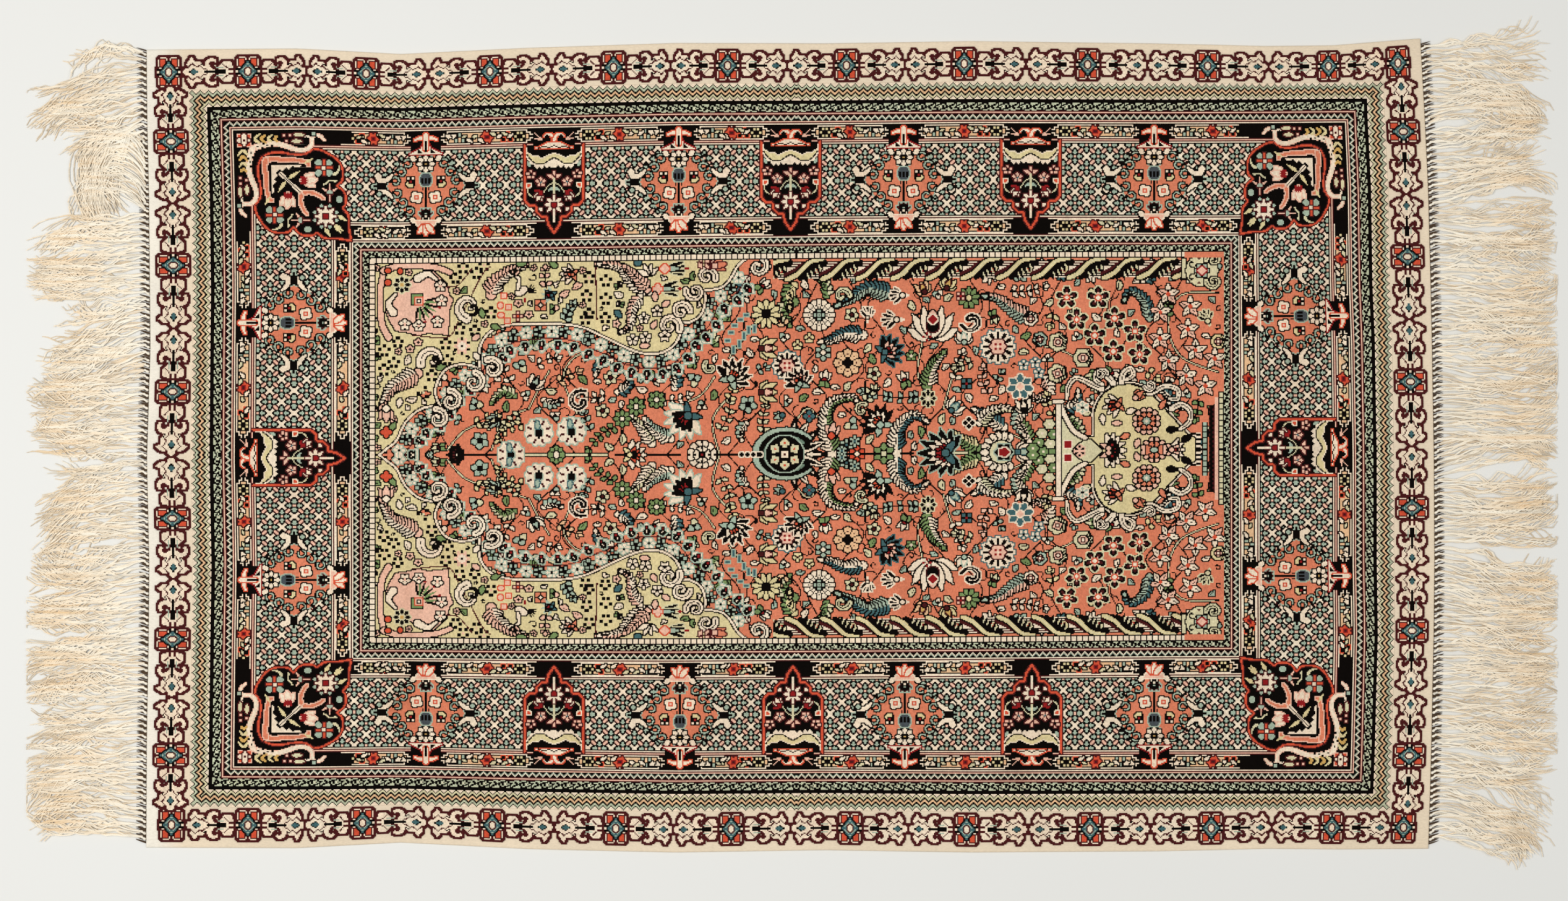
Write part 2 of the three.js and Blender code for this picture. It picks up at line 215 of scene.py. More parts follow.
# A chart of knots, with its own middle at (0, 0) and a yarn for each knot
class Chart:
    def __init__(self, width, height, middleX=None, middleY=None, ground=bare):
        self.cells = np.full((height, width), ground, np.int8)
        self.middleX = width / 2 if middleX is None else middleX
        self.middleY = height / 2 if middleY is None else middleY

    def draw(self, x, y, shape, reach, inside=None, edge=None, turn=0.0, flip=False, only=None):
        height, width = self.cells.shape
        x0 = max(0, math.floor(x + self.middleX - reach - 2))
        x1 = min(width, math.ceil(x + self.middleX + reach + 2))
        y0 = max(0, math.floor(y + self.middleY - reach - 2))
        y1 = min(height, math.ceil(y + self.middleY + reach + 2))
        if x0 >= x1 or y0 >= y1:
            return
        rows, columns = np.mgrid[y0:y1, x0:x1]
        dx = columns + 0.5 - self.middleX - x
        dy = rows + 0.5 - self.middleY - y
        c = math.cos(math.radians(turn))
        s = math.sin(math.radians(turn))
        u = c * dx + s * dy
        v = c * dy - s * dx
        filled = shape(u, -v if flip else v)
        patch = self.cells[y0:y1, x0:x1]
        allowed = np.ones(patch.shape, bool)
        if only is not None:
            allowed = np.isin(patch, [yarn[name] for name in only])
        if edge is not None:
            patch[grown(filled) & ~filled & allowed] = yarn[edge]
        if inside is not None:
            patch[filled & allowed] = yarn[inside]

    # A line of changing width through points given on the chart
    def trace(self, points, halfFrom, halfTo=None, inside=None, edge=None, only=None):
        (x, y), reach = middleOf(points)
        shape = band([(u - x, v - y) for u, v in points], halfFrom, halfTo)
        self.draw(x, y, shape, reach + max(halfFrom, halfTo or 0) + 1, inside, edge, 0.0, False, only)

    # The area inside points given on the chart
    def fill(self, points, inside=None, edge=None):
        (x, y), reach = middleOf(points)
        self.draw(x, y, area([(u - x, v - y) for u, v in points]), reach + 1, inside, edge)

    # Several shapes that share one outline
    def drawJoined(self, x, y, shapes, reach, inside, edge, turn=0.0, flip=False):
        joined = lambda u, v: np.logical_or.reduce([shape(u, v) for shape in shapes])
        self.draw(x, y, joined, reach, inside, edge, turn, flip)


def middleOf(points):
    xs, ys = zip(*points)
    middle = ((min(xs) + max(xs)) / 2, (min(ys) + max(ys)) / 2)
    return middle, max(max(xs) - min(xs), max(ys) - min(ys)) / 2


def grown(filled):
    around = filled.copy()
    around[1:] |= filled[:-1]
    around[:-1] |= filled[1:]
    sideways = around.copy()
    around[:, 1:] |= sideways[:, :-1]
    around[:, :-1] |= sideways[:, 1:]
    return around


# Shapes, each a test of u along the shape and v across it, in knots
def disc(radius):
    return lambda u, v: u * u + v * v <= radius * radius


def oval(long, wide, at=0.0, off=0.0):
    return lambda u, v: ((u - at) / long) ** 2 + ((v - off) / wide) ** 2 <= 1.0


def diamond(long, wide, at=0.0, off=0.0):
    return lambda u, v: abs(u - at) / long + abs(v - off) / wide <= 1.0


def block(low, high, wide, off=0.0):
    return lambda u, v: (u >= low) & (u <= high) & (abs(v - off) <= wide)


def petals(count, reach, deep=0.45, turn=0.0):
    def shape(u, v):
        angle = np.arctan2(v, u) + math.radians(turn)
        return np.hypot(u, v) <= reach * (1.0 - deep * (0.5 - 0.5 * np.cos(count * angle)))
    return shape


def leafShape(length, wide, start=0.0, bend=0.0):
    def shape(u, v):
        share = np.clip((u - start) / length, 0.0, 1.0)
        middle = bend * np.sin(math.pi * share)
        return (u >= start) & (u <= start + length) & (
            abs(v - middle) <= wide * np.sin(math.pi * share ** 0.8)
        )
    return shape


def curve(points, steps=6):
    ends = [points[0]] + list(points) + [points[-1]]
    smooth = []
    for a, b, c, d in zip(ends, ends[1:], ends[2:], ends[3:]):
        for k in range(steps):
            t = k / steps
            smooth.append(tuple(
                0.5 * (
            2 * q
            + (r - p) * t
            + (2 * p - 5 * q + 4 * r - s) * t * t
            + (3 * q - p - 3 * r + s) * t ** 3
        )
                for p, q, r, s in zip(a, b, c, d)
            ))
    return smooth + [points[-1]]


# A band that follows points; its half width runs from one value to the other along it
def band(points, halfFrom, halfTo=None):
    halfTo = halfFrom if halfTo is None else halfTo
    count = len(points) - 1

    def shape(u, v):
        inside = np.zeros(u.shape, bool)
        for i in range(count):
            (ax, ay), (bx, by) = points[i], points[i + 1]
            length = (bx - ax) ** 2 + (by - ay) ** 2 or 1e-6
            t = np.clip(((u - ax) * (bx - ax) + (v - ay) * (by - ay)) / length, 0.0, 1.0)
            half = halfFrom + (halfTo - halfFrom) * (i + t) / count
            inside |= np.hypot(u - ax - t * (bx - ax), v - ay - t * (by - ay)) <= half
        return inside
    return shape


def area(points):
    def shape(u, v):
        inside = np.zeros(u.shape, bool)
        for (ax, ay), (bx, by) in zip(points, points[1:] + points[:1]):
            if ay == by:
                continue
            crosses = ((ay > v) != (by > v)) & (u < (bx - ax) * (v - ay) / (by - ay) + ax)
            inside ^= crosses
        return inside
    return shape


# Points of one half of a shape, then those of its mirrored half
def bothWays(points):
    return points + [(-u, v) for u, v in points[::-1]]


def scrollPoints(x, y, reach, turns, start, clockwise=False, tight=0.25, steps=14):
    way = -1 if clockwise else 1
    count = max(4, int(turns * steps))
    return [
        (x + r * math.cos(a), y + r * math.sin(a))
        for r, a in (
            (
                reach * (1 - (1 - tight) * k / count),
                math.radians(start) + way * 2 * math.pi * turns * k / count,
            )
            for k in range(count + 1)
        )
    ]


# Flowers, leaves and scrolls, each drawn on a chart at a place, with a size in knots and a turn in degrees
def spokes(count, near, far, wide=0.5, turn=0.0):
    def shape(u, v):
        away = np.hypot(u, v)
        step = 2 * math.pi / count
        angle = (np.arctan2(v, u) + math.radians(turn) + step / 2) % step - step / 2
        return (away >= near) & (away <= far) & (abs(away * np.sin(angle)) <= wide)
    return shape


def flower(
    chart, x, y, size, petal, heart, edge="black", count=5, turn=90.0, deep=0.3, dots=None, halo=None,
    veins=True,
):
    shape = petals(count, size, deep)
    if halo:
        chart.draw(x, y, petals(count, size + 1.5, deep), size + 4, halo, None, turn)
    chart.draw(x, y, shape, size + 2, petal, edge, turn)
    if veins and edge and size > 3.4:
        chart.draw(x, y, spokes(count, 0, size * 0.92, 0.5, 180.0 / count), size + 1, edge, None, turn)
    for k in range(count if dots else 0):
        angle = math.radians(turn + 360.0 * k / count)
        at = size * 0.64
        chart.draw(x + at * math.cos(angle), y + at * math.sin(angle), block(-0.6, 0.6, 0.6), 2, dots)
    chart.draw(x, y, disc(max(1.0, size * 0.24)), size, heart, edge if size > 5 else None)


# Five or six square petals set in a ring
def squareFlower(chart, x, y, size=3.6, petal="black", heart="pink", edge=None, count=5, turn=90.0):
    half = 0.38 * size
    for k in range(count):
        angle = math.radians(turn + 360.0 * k / count)
        chart.draw(
            x + size * math.cos(angle), y + size * math.sin(angle), block(-half, half, half), 4,
            petal, edge,
        )
    chart.draw(x, y, block(-0.9, 0.9, 0.9), 3, heart)


# Open flower under a dark hood
def hoodedFlower(chart, x, y, size=5.5, turn=0.0):
    for lean in (-70, -25, 25, 70, 180):
        long = size * (1.1 if lean < 180 else 0.7)
        chart.draw(x, y, leafShape(long, size * 0.34), size + 2, "ivory", "mint", turn + 90 + lean)
    hood = lambda u, v: (u > size * 0.25) & (u < size * 1.15) & (abs(v) < size * 0.5) & (
        u + abs(v) < size * 1.4
    )
    chart.draw(x, y, hood, size + 3, "black", "mint", turn + 90)
    chart.draw(x, y, block(size * 0.2, size * 0.8, 0.5), size + 3, "ivory", None, turn + 90)
    for lean in (-48, 48):
        chart.draw(x, y, block(1, size * 0.8, 0.45), size + 3, "black", None, turn + 90 + lean)
    chart.draw(x, y, block(-1.1, 0.6, 1.1), 3, "red", "black")


def sprig(
    chart, x, y, length, turn, leaf="ivory", edge="black", pairs=4, bend=0.0, leafLong=5.0, stem="black"
):
    spine = curve([(0, 0), (length * 0.5, bend), (length, 0)], 8)
    chart.draw(x, y, band(spine, 0.55), length + 4, stem, None, turn)
    c, s = math.cos(math.radians(turn)), math.sin(math.radians(turn))
    for k in range(pairs):
        share = (k + 0.7) / pairs
        u, v = spine[min(int(share * (len(spine) - 1)), len(spine) - 1)]
        for way in (-1, 1):
            at = (x + c * u - s * v, y + s * u + c * v)
            size = leafLong * (1.1 - 0.35 * share)
            chart.draw(
                *at, leafShape(size, size * 0.3, 1.0), size + 2, leaf, edge,
                turn + way * (62 - 18 * share),
            )
    chart.draw(
        x + c * length, y + s * length, leafShape(leafLong * 0.9, leafLong * 0.28), leafLong + 2, leaf,
        edge, turn,
    )


# Long feathered leaf along points, one half in each of two yarns
def featherLeaf(chart, points, wide, light, dark, edge="black"):
    path = np.array(curve(points, 8))
    reach = np.concatenate([[0], np.cumsum(np.hypot(*np.diff(path, axis=0).T))])
    length = reach[-1]
    at = lambda share: (
        np.interp(share * length, reach, path[:, 0]), np.interp(share * length, reach, path[:, 1]),
    )
    chart.trace([tuple(spot) for spot in path], wide * 0.55, 0.6, light, edge)
    count = max(4, int(length / 3.1))
    for k in range(count):
        share = (k + 0.35) / count
        x, y = at(share)
        nx, ny = at(min(1, share + 0.04))
        bearing = math.degrees(math.atan2(ny - y, nx - x))
        long = wide * (1.25 - share) + 1.2
        for way, colour in ((1, light), (-1, dark)):
            chart.draw(
                x, y, leafShape(long, 1.75, 0.3, -0.7 * way), long + 2, colour, edge,
                bearing + way * (58 - 18 * share),
            )
    tip = at(0.9)
    end = at(1.0)
    chart.draw(
        *tip, leafShape(wide * 0.9, 1.5), wide + 2, light, edge,
        math.degrees(math.atan2(end[1] - tip[1], end[0] - tip[0])),
    )
    chart.trace([at(k / 12) for k in range(12)], 0.9, 0.5, light, None)
    chart.trace([at(k / 12) for k in range(12)], 0.3, 0.3, edge)


# Curled volute with a dark edge and a thread of the edge yarn inside it
def volute(chart, x, y, reach, start, clockwise=False, inside="ivory", turns=1.15, thick=0.3):
    points = scrollPoints(x, y, reach, turns, start, clockwise, 0.18)
    chart.trace(points, reach * thick, 1.0, inside, "black")
    inner = scrollPoints(x, y, reach * 0.98, turns * 0.8, start, clockwise, 0.3)
    chart.trace(inner, 0.45, None, "black")


# Fan of narrow petals over a smaller one, with a cup at its foot
def carnation(
    chart, x, y, size, turn, outer="black", middle="pink", inner="red", cup="mint", halo="ivory", count=7
):
    spread = 26.0 if count > 5 else 30.0
    for ring, (share, colour, edge) in enumerate(
        ((1.0, outer, halo), (0.62, middle, "black"), (0.36, inner, "black"))
    ):
        n = count - 2 * ring
        for k in range(n):
            lean = (k - (n - 1) / 2) * spread
            long = size * share * (1.0 - 0.0016 * abs(lean))
            chart.draw(
                x, y, leafShape(long, max(1.2, size * share * 0.17), 0.5), size + 2, colour, edge,
                turn + lean,
            )
    for way in (-1, 1):
        chart.draw(x, y, leafShape(size * 0.55, size * 0.12), size, cup, "black", turn + way * 128)
    chart.draw(x, y, disc(max(1.4, size * 0.14)), size, cup, "black")


def tulip(chart, x, y, size, turn, petal="ivory", tip="red", edge="black"):
    for lean, share in ((34, 0.9), (-34, 0.9), (0, 1.0)):
        chart.draw(x, y, leafShape(size * share, size * 0.22), size + 2, petal, edge, turn + lean)
    chart.draw(x, y, disc(size * 0.22), size, tip, edge)


def stem(chart, points, colour="black", wide=0.55):
    chart.trace(curve(points, 6), wide, None, colour)


# Where each band of the border starts and ends, in knots from the rug's edge
bands = {
    "flatWeave": (0, 36),
    "zigzag": (36, 51),
    "darkLine": (51, 54),
    "outerScroll": (54, 61),
    "outerLines": (61, 64),
    "outerSaw": (64, 69),
    "cartoucheLinesOuter": (69, 73),
    "cartouchesOuter": (73, 85),
    "trellisLinesOuter": (85, 90),
    "trellis": (90, 152),
    "trellisLinesInner": (152, 156),
    "cartouchesInner": (156, 168),
    "innerLines": (168, 171),
    "innerSaw": (171, 176),
    "scrollLines": (176, 179),
    "innerScroll": (179, 184),
    "squares": (184, 190),
}
# Small repeats, charted from the outer row inwards; each letter is a yarn
letters = {"k": "black", "i": "ivory", "m": "mint", "s": "sage"}
scrollChart = [
    "kksssssskkkkkksssk",
    "skkksssskksskkkksk",
    "sskkkkskkskkssskkk",
    "kssskkkkkskksikssk",
    "kkskkkskkkkkssskkk",
    "ssskksssskkkkkskks",
    "kkksssskksssskkkkk",
]
sawChart = [
    "kkkikk",
    "kkimik",
    "kimkmi",
    "imkkkm",
    "mkkkkk",
]
halfLow = weave["halfKnotsAcross"]
halfLong = weave["halfKnotsAlong"]


def charted(rows):
    return np.array([[yarn[letters[letter]] for letter in row] for row in rows], np.int8)


# One repeat of the trellis: mint flowers of four pointed petals, ivory crosses between them, pink bars on
# the slants
def trellisRepeat(size=20):
    tile = Chart(3 * size, 3 * size, 0, 0, yarn["black"])
    half = size / 2
    spots = [(i * half, j * half, (i + j) % 2) for i in range(-1, 7) for j in range(-1, 7)]
    for x, y, crossing in spots:
        if crossing:
            for turn in (45, 135):
                tile.draw(x, y, block(-7, 7, 2.6), 9, "ivory", None, turn)
            for side in (-1, 1):
                tile.draw(
                    x + side * half / 2, y + half / 2, block(-1.2, 1.2, 2.2), 4, "pink", "wine", 45 * side,
                )
                tile.draw(
                    x + side * half / 2, y - half / 2, block(-1.2, 1.2, 2.2), 4, "pink", "wine",
                    -45 * side,
                )
    for x, y, crossing in spots:
        if not crossing:
            for turn in (0, 90, 180, 270):
                tile.draw(x, y, leafShape(8.4, 3.4), 10, "black", None, turn)
            for turn in (0, 90, 180, 270):
                tile.draw(x, y, leafShape(5.8, 1.55, 1.0), 9, "mint", None, turn)
                tile.draw(x, y, block(1.5, 3.9, 0.4), 6, "black", None, turn)
            tile.draw(x, y, block(-1.2, 1.2, 1.2), 3, "pink", "black")
    return tile.cells[size:2 * size, size:2 * size]


def borderGround():
    depthTop, depthLeft = np.mgrid[0:halfLow, 0:halfLong]
    depthTop = halfLow - 1 - depthTop
    depth = np.minimum(depthTop, depthLeft)
    along = np.maximum(depthTop, depthLeft)
    quarter = np.full(depth.shape, bare, np.int8)

    def inBand(name):
        low, high = bands[name]
        return (depth >= low) & (depth < high), depth - low, high - low

    def stripes(name, colours):
        inside, step, wide = inBand(name)
        table = np.array([yarn[colours[min(k, len(colours) - 1)]] for k in range(wide)], np.int8)
        quarter[inside] = table[step[inside]]

    def repeat(name, rows, shift=0):
        inside, step, wide = inBand(name)
        rows = charted(rows)
        quarter[inside] = rows[
            np.clip(step[inside], 0, rows.shape[0] - 1), (along[inside] + shift) % rows.shape[1],
        ]

    inside, step, wide = inBand("zigzag")
    level = step - np.abs(along % 7 - 3)
    between = np.searchsorted((0, 3, 7, 11), level)
    zigzag = np.array([yarn[name] for name in ("ivory", "sage", "tan", "celery", "ivory")], np.int8)[between]
    zigzag[np.isin(level, (0, 3, 4, 7, 8, 11))] = yarn["black"]
    quarter[inside] = zigzag[inside]
    stripes("darkLine", ["black"])
    repeat("outerScroll", scrollChart)
    stripes("outerLines", ["wine", "pink", "wine"])
    repeat("outerSaw", sawChart)
    stripes("cartoucheLinesOuter", ["pink", "wine", "ivory", "black"])
    stripes("cartouchesOuter", ["black"])
    stripes("trellisLinesOuter", ["wine", "pink", "wine", "ivory", "black"])
    inside, step, wide = inBand("trellis")
    tile = trellisRepeat()
    acrossTile = (step * 20.0 / (62 / 3)).astype(int)
    quarter[inside] = tile[(acrossTile[inside] + 10) % 20, (halfLong - along[inside]) % 20]
    stripes("trellisLinesInner", ["black", "ivory", "wine", "ivory"])
    stripes("cartouchesInner", ["black"])
    stripes("innerLines", ["ivory", "wine", "ivory"])
    repeat("innerSaw", sawChart[::-1])
    stripes("scrollLines", ["wine", "pink", "wine"])
    repeat("innerScroll", scrollChart[1:6])
    inside, step, wide = inBand("squares")
    square = np.where((along % 5 == 0) | (step == 0), yarn["black"], yarn["ivory"])
    quarter[inside] = square[inside]
    quarter[inside & (step == wide - 1)] = yarn["black"]
    return quarter


# Puts a motif on one side of the border, so many knots from the middle of that side and from its edge
def layMotif(cells, motif, side, place, depth, flip=False):
    part = motif.cells[:, ::-1] if flip else motif.cells
    part = {"top": part, "bottom": part[::-1], "left": part.T[:, ::-1], "right": part.T}[side]
    height, width = part.shape
    row = place + halfLow
    column = place + halfLong
    if side in ("top", "bottom"):
        row = depth if side == "bottom" else 2 * halfLow - depth
    else:
        column = depth if side == "left" else 2 * halfLong - depth
    row = round(row - height / 2)
    column = round(column - width / 2)
    patch = cells[row:row + height, column:column + width]
    patch[part != bare] = part[part != bare]


# Rosette of the flat-woven border
def rosette():
    motif = Chart(26, 36)
    lobes = [oval(5.0, 5.4, sx * 4.4, sy * 7.8) for sx in (-1, 1) for sy in (-1, 1)]
    lobes += [block(-8.4, 8.4, 9), block(-9.6, 9.6, 2.6)]
    joined = lambda u, v: np.logical_or.reduce([lobe(u, v) for lobe in lobes])
    motif.draw(0, 0, lambda u, v: grown(grown(joined(u, v))), 18, "wine")
    motif.draw(0, 0, joined, 18, "ivory")
    for sx in (-1, 1):
        motif.draw(0, sx * 12, block(-0.5, 0.5, 2), 18, "wine")
        for sy in (-1, 1):
            motif.draw(sx * 4.8, sy * 8, block(-1.9, 1.9, 2.5), 5, "orange", "wine")
            motif.draw(sx * 8.4, sy * 2.2, block(-1.1, 1.1, 0.9), 5, "black")
    motif.draw(0, 0, diamond(7.2, 9.2), 13, "teal", "black")
    motif.draw(0, 0, diamond(5.8, 7.4), 13, "mint")
    motif.draw(0, 0, diamond(5.0, 6.4), 13, "teal")
    motif.draw(0, 0, diamond(2.8, 3.8), 9, "ivory", "wine")
    return motif


# Palmette of the flat-woven border, its foot at the rosette: a round leaf, a hooked leaf and a lobed leaf
# on each side
def palmette(length):
    motif = Chart(length + 6, 36, 3)
    k = length / 38.5
    leaf = [(18, 0), (20.5, 3), (22.5, 6.4), (25, 8.9), (29.4, 9.2), (30.4, 11.4), (31.6, 13), (33.6, 10)]
    leaf += [(35.6, 7), (34.2, 4.6), (37, 2.6), (38.5, 0)]
    parts = [
        area([
            (k * u, v)
            for u, v in ((0, -1), (0.3, 3.4), (0.8, 7.4), (3.4, 9.4), (7, 9), (9.6, 6.2), (11, 4), (11, -1))
        ]),
        band(
            curve([(17.5 * k, 1.5), (19.6 * k, 5.3), (19 * k, 8.8), (16 * k, 10.4), (13.6 * k, 9.6)]),
            2.1, 1.2,
        ),
        area([(k * u, v) for u, v in leaf + [(30, -1), (20, -1)]]),
        block(0, 38 * k, 1.7),
    ]
    joined = lambda u, v: np.logical_or.reduce([part(u, abs(v)) for part in parts])
    motif.draw(0, 0, lambda u, v: grown(grown(joined(u, v))), length + 4, "wine")
    motif.draw(0, 0, joined, length + 4, "ivory")
    for way in (-1, 1):
        motif.draw(0, 0, band([(0, 2 * way), (4 * k, 2 * way)], 0.5), length, "wine")
        motif.draw(0, 0, band([(4.2 * k, way * 3), (7.6 * k, way * 6.4)], 0.5), length, "wine")
        motif.draw(0, 0, block(7.5 * k, 13 * k, 0.6, way * 3.2), length, "mint")
        vein = [(20, 1.8), (23, 3), (25.4, 5.4), (27, 4.4), (29.4, 5.6), (31, 7.4), (33, 5.4), (35.4, 3.2)]
        motif.draw(0, 0, band([(k * u, way * v) for u, v in vein], 0.5), length, "wine")
        motif.draw(0, 0, band([(22 * k, way * 5.4), (25 * k, way * 7)], 0.5), length, "black")
    motif.draw(0, 0, block(5.6 * k, 13.4 * k, 1.7), length, "black")
    motif.draw(0, 0, block(13.4 * k, 22 * k, 0.5), length, "black")
    motif.draw(0, 0, diamond(4.6, 3.2, 30.2 * k), length, "black")
    motif.draw(0, 0, diamond(3.6, 2.3, 29.6 * k), length, "teal")
    return motif


# Long cartouche between the dark gaps of the main border, with stepped ends
def cartouche(length, wide, vaseAtEnd):
    motif = Chart(length + 4, wide)
    half = length / 2
    for inset, thread in ((0, "ivory"), (1, "black"), (2, "tan")):
        steps = [
            block(-half + k + inset, half - k - inset, wide / 2 + k / 1.5 - 4 - inset * 0.8)
            for k in (0, 3, 6)
        ]
        motif.drawJoined(0, 0, steps, half + 6, thread, None)
    motif.draw(0, 0, petals(6, 5.4, 0.25), 6, "orange", "wine")
    motif.draw(0, 0, disc(1.4), 3, "wine", "red")
    way = 1 if vaseAtEnd else -1
    flower = half - 12.5
    motif.draw(way * flower, 0, disc(5.4), 6, "black")
    for k in range(6):
        angle = math.radians(60 * k)
        motif.draw(
            way * flower + 3.5 * math.cos(angle), 3.5 * math.sin(angle), block(-1.1, 1.1, 1.1), 3, "lime",
        )
    for u, v in ((-2.8, -2.2), (2.8, -2.2), (0, 2.4)):
        motif.draw(way * (flower - 11) + u, v, block(-1.4, 1.4, 1.4), 3, "black", "orange")
        motif.draw(-way * (half - 17) + u, v, block(-1.3, 1.3, 1.3), 4, "mint", "black")
    for sign in (-1, 1):
        motif.draw(-way * (half - 9.5), 0, leafShape(5.5, 1.7), 6, "ivory", "black", 90 + 60 * sign)
        for at in (8, half - 23):
            motif.draw(sign * at, -1, leafShape(6.5, 1.4), 7, "ivory", "black", 35 * sign)
            motif.draw(sign * at, 1.6, leafShape(5.5, 1.2), 7, "celery", "black", 180 - 20 * sign)
    return motif


# Salmon medallion of the main border, with its crown outwards and its lily inwards
def medallion():
    motif = Chart(104, 98)
    for way in (1, -1):
        gap = area([(-13, way * 30), (-13, way * 47), (13, way * 47), (13, way * 30)])
        motif.draw(0, 0, gap, 60, "black")
    half = [(33, 0), (29, 7), (24, 14), (15, 25), (10, 28.5)]
    outline = half + [(-u, v) for u, v in half[::-1]] + [(-29, -7), (-24, -15), (-15, -26), (-8, -33)]
    outline += [(8, -33), (15, -26), (24, -15), (29, -7)]
    motif.draw(0, 0, area(outline), 50, "salmon", "mint")
    for way in (-1, 1):
        for u, v, start in (
            (15.5, 20, 20), (21, 12.5, 10), (26, 4.6, 0), (24.5, -6, 0), (19.6, -14.5, -10),
            (13.6, -22, -20),
        ):
            curl = scrollPoints(
                way * u, v, 3.9, 0.82, start if way > 0 else 180 - start, (way > 0) == (v < 0), 0.7,
            )
            motif.draw(0, 0, band(curl, 1.8), 60, "black")
            motif.draw(0, 0, band(curl, 0.6), 60, "mint")
            motif.draw(
                0, 0, band([curl[0], (curl[0][0] + way * 3.5, curl[0][1] + (2 if v > 0 else -2))], 0.9),
                60, "black",
            )
        motif.draw(way * 33, 0, leafShape(14, 1.8), 16, "black", "mint", 0 if way > 0 else 180)
        for side in (-1, 1):
            pod = curve([(way * u, side * v) for u, v in ((29, 10), (34, 5.4), (39, 5), (41, 9))])
            motif.draw(0, 0, lambda u, v: grown(band(pod, 1.2, 2.8)(u, v)), 60, "black")
            motif.draw(0, 0, band(pod, 1.2, 2.8), 60, "ivory")
            motif.draw(0, 0, band([(way * 33, side * 2), (way * 39, side * 1)], 0.6), 60, "black")
        motif.draw(way * 40, -7, petals(4, 2.4, 0.2), 6, "mint", "black")
        squareFlower(motif, way * 13, 4.6, 3.0, "ivory", "red", "black", 4, 45)
        motif.draw(way * 13.6, 1.6, oval(3.4, 2.6), 6, "lime", "black", 40 * way)
        motif.draw(way * 13, 4.4, block(-1, 1, 1), 3, "red", "black")
        motif.draw(way * 8, -10, petals(4, 5.6, 0.25), 8, "ivory", "black", 45 + 10 * way)
        motif.draw(way * 8, -10, block(-1.4, 1.4, 1.4), 3, "pink", "orange")
        motif.draw(0, 0, band([(way * 2, -4), (way * 6, 8)], 0.5), 20, "black")
        for at in (-1, 1):
            motif.draw(way * 11, at * 27.5 - 3, oval(3, 2), 6, "ivory", "black", 40 * way)
    stem(motif, [(0, 12), (0, -20)])
    flower(motif, 0, 19.5, 7.8, "ivory", "gold", "black", 8, 90, 0.16, None, "mint")
    motif.draw(0, 19.5, disc(2.6), 4, "black")
    motif.draw(0, 19.5, disc(1.1), 4, "gold")
    motif.draw(0, 5.5, oval(5.8, 5), 8, "slate", "mint", 90)
    for off in (-3, 0, 3):
        motif.draw(off, 4.6, oval(3.0, 0.8), 5, "black", None, 90)
    carnation(motif, 0, -27, 8, 90, "wine", "black", "mint", "ivory", "mint", 5)
    motif.draw(
        0, 0, area([(-9, -31), (9, -31), (7, -35), (3, -33.5), (0, -36), (-3, -33.5), (-7, -35)]), 50,
        "pink", "ivory",
    )
    for lean in (-38, 0, 38):
        motif.draw(0, -33.5, leafShape(11.5, 2.2), 14, "ivory", "orange", -90 + lean)
    crown = [(-15, 28.2), (15, 28.2), (4, 33.5), (2.6, 37), (-2.6, 37), (-4, 33.5)]
    motif.draw(0, 0, area(crown), 50, "ivory", "red")
    for way in (-1, 1):
        motif.draw(way * 5.5, 31, area([(-2, -1.6), (2.4, -1.6), (-1, 1.8)]), 6, "black", None, 0, False)
        motif.draw(
            0, 0, band(curve([(0, 41), (way * 5, 42.5), (way * 9.5, 41)]), 1.5, 0.8), 60, "ivory",
            "orange",
        )
    motif.draw(0, 0, band([(0, 33), (0, 45)], 1.8), 60, "ivory", "orange")
    motif.draw(0, 0, band([(0, 30), (0, 40)], 0.6), 60, "black")
    return motif


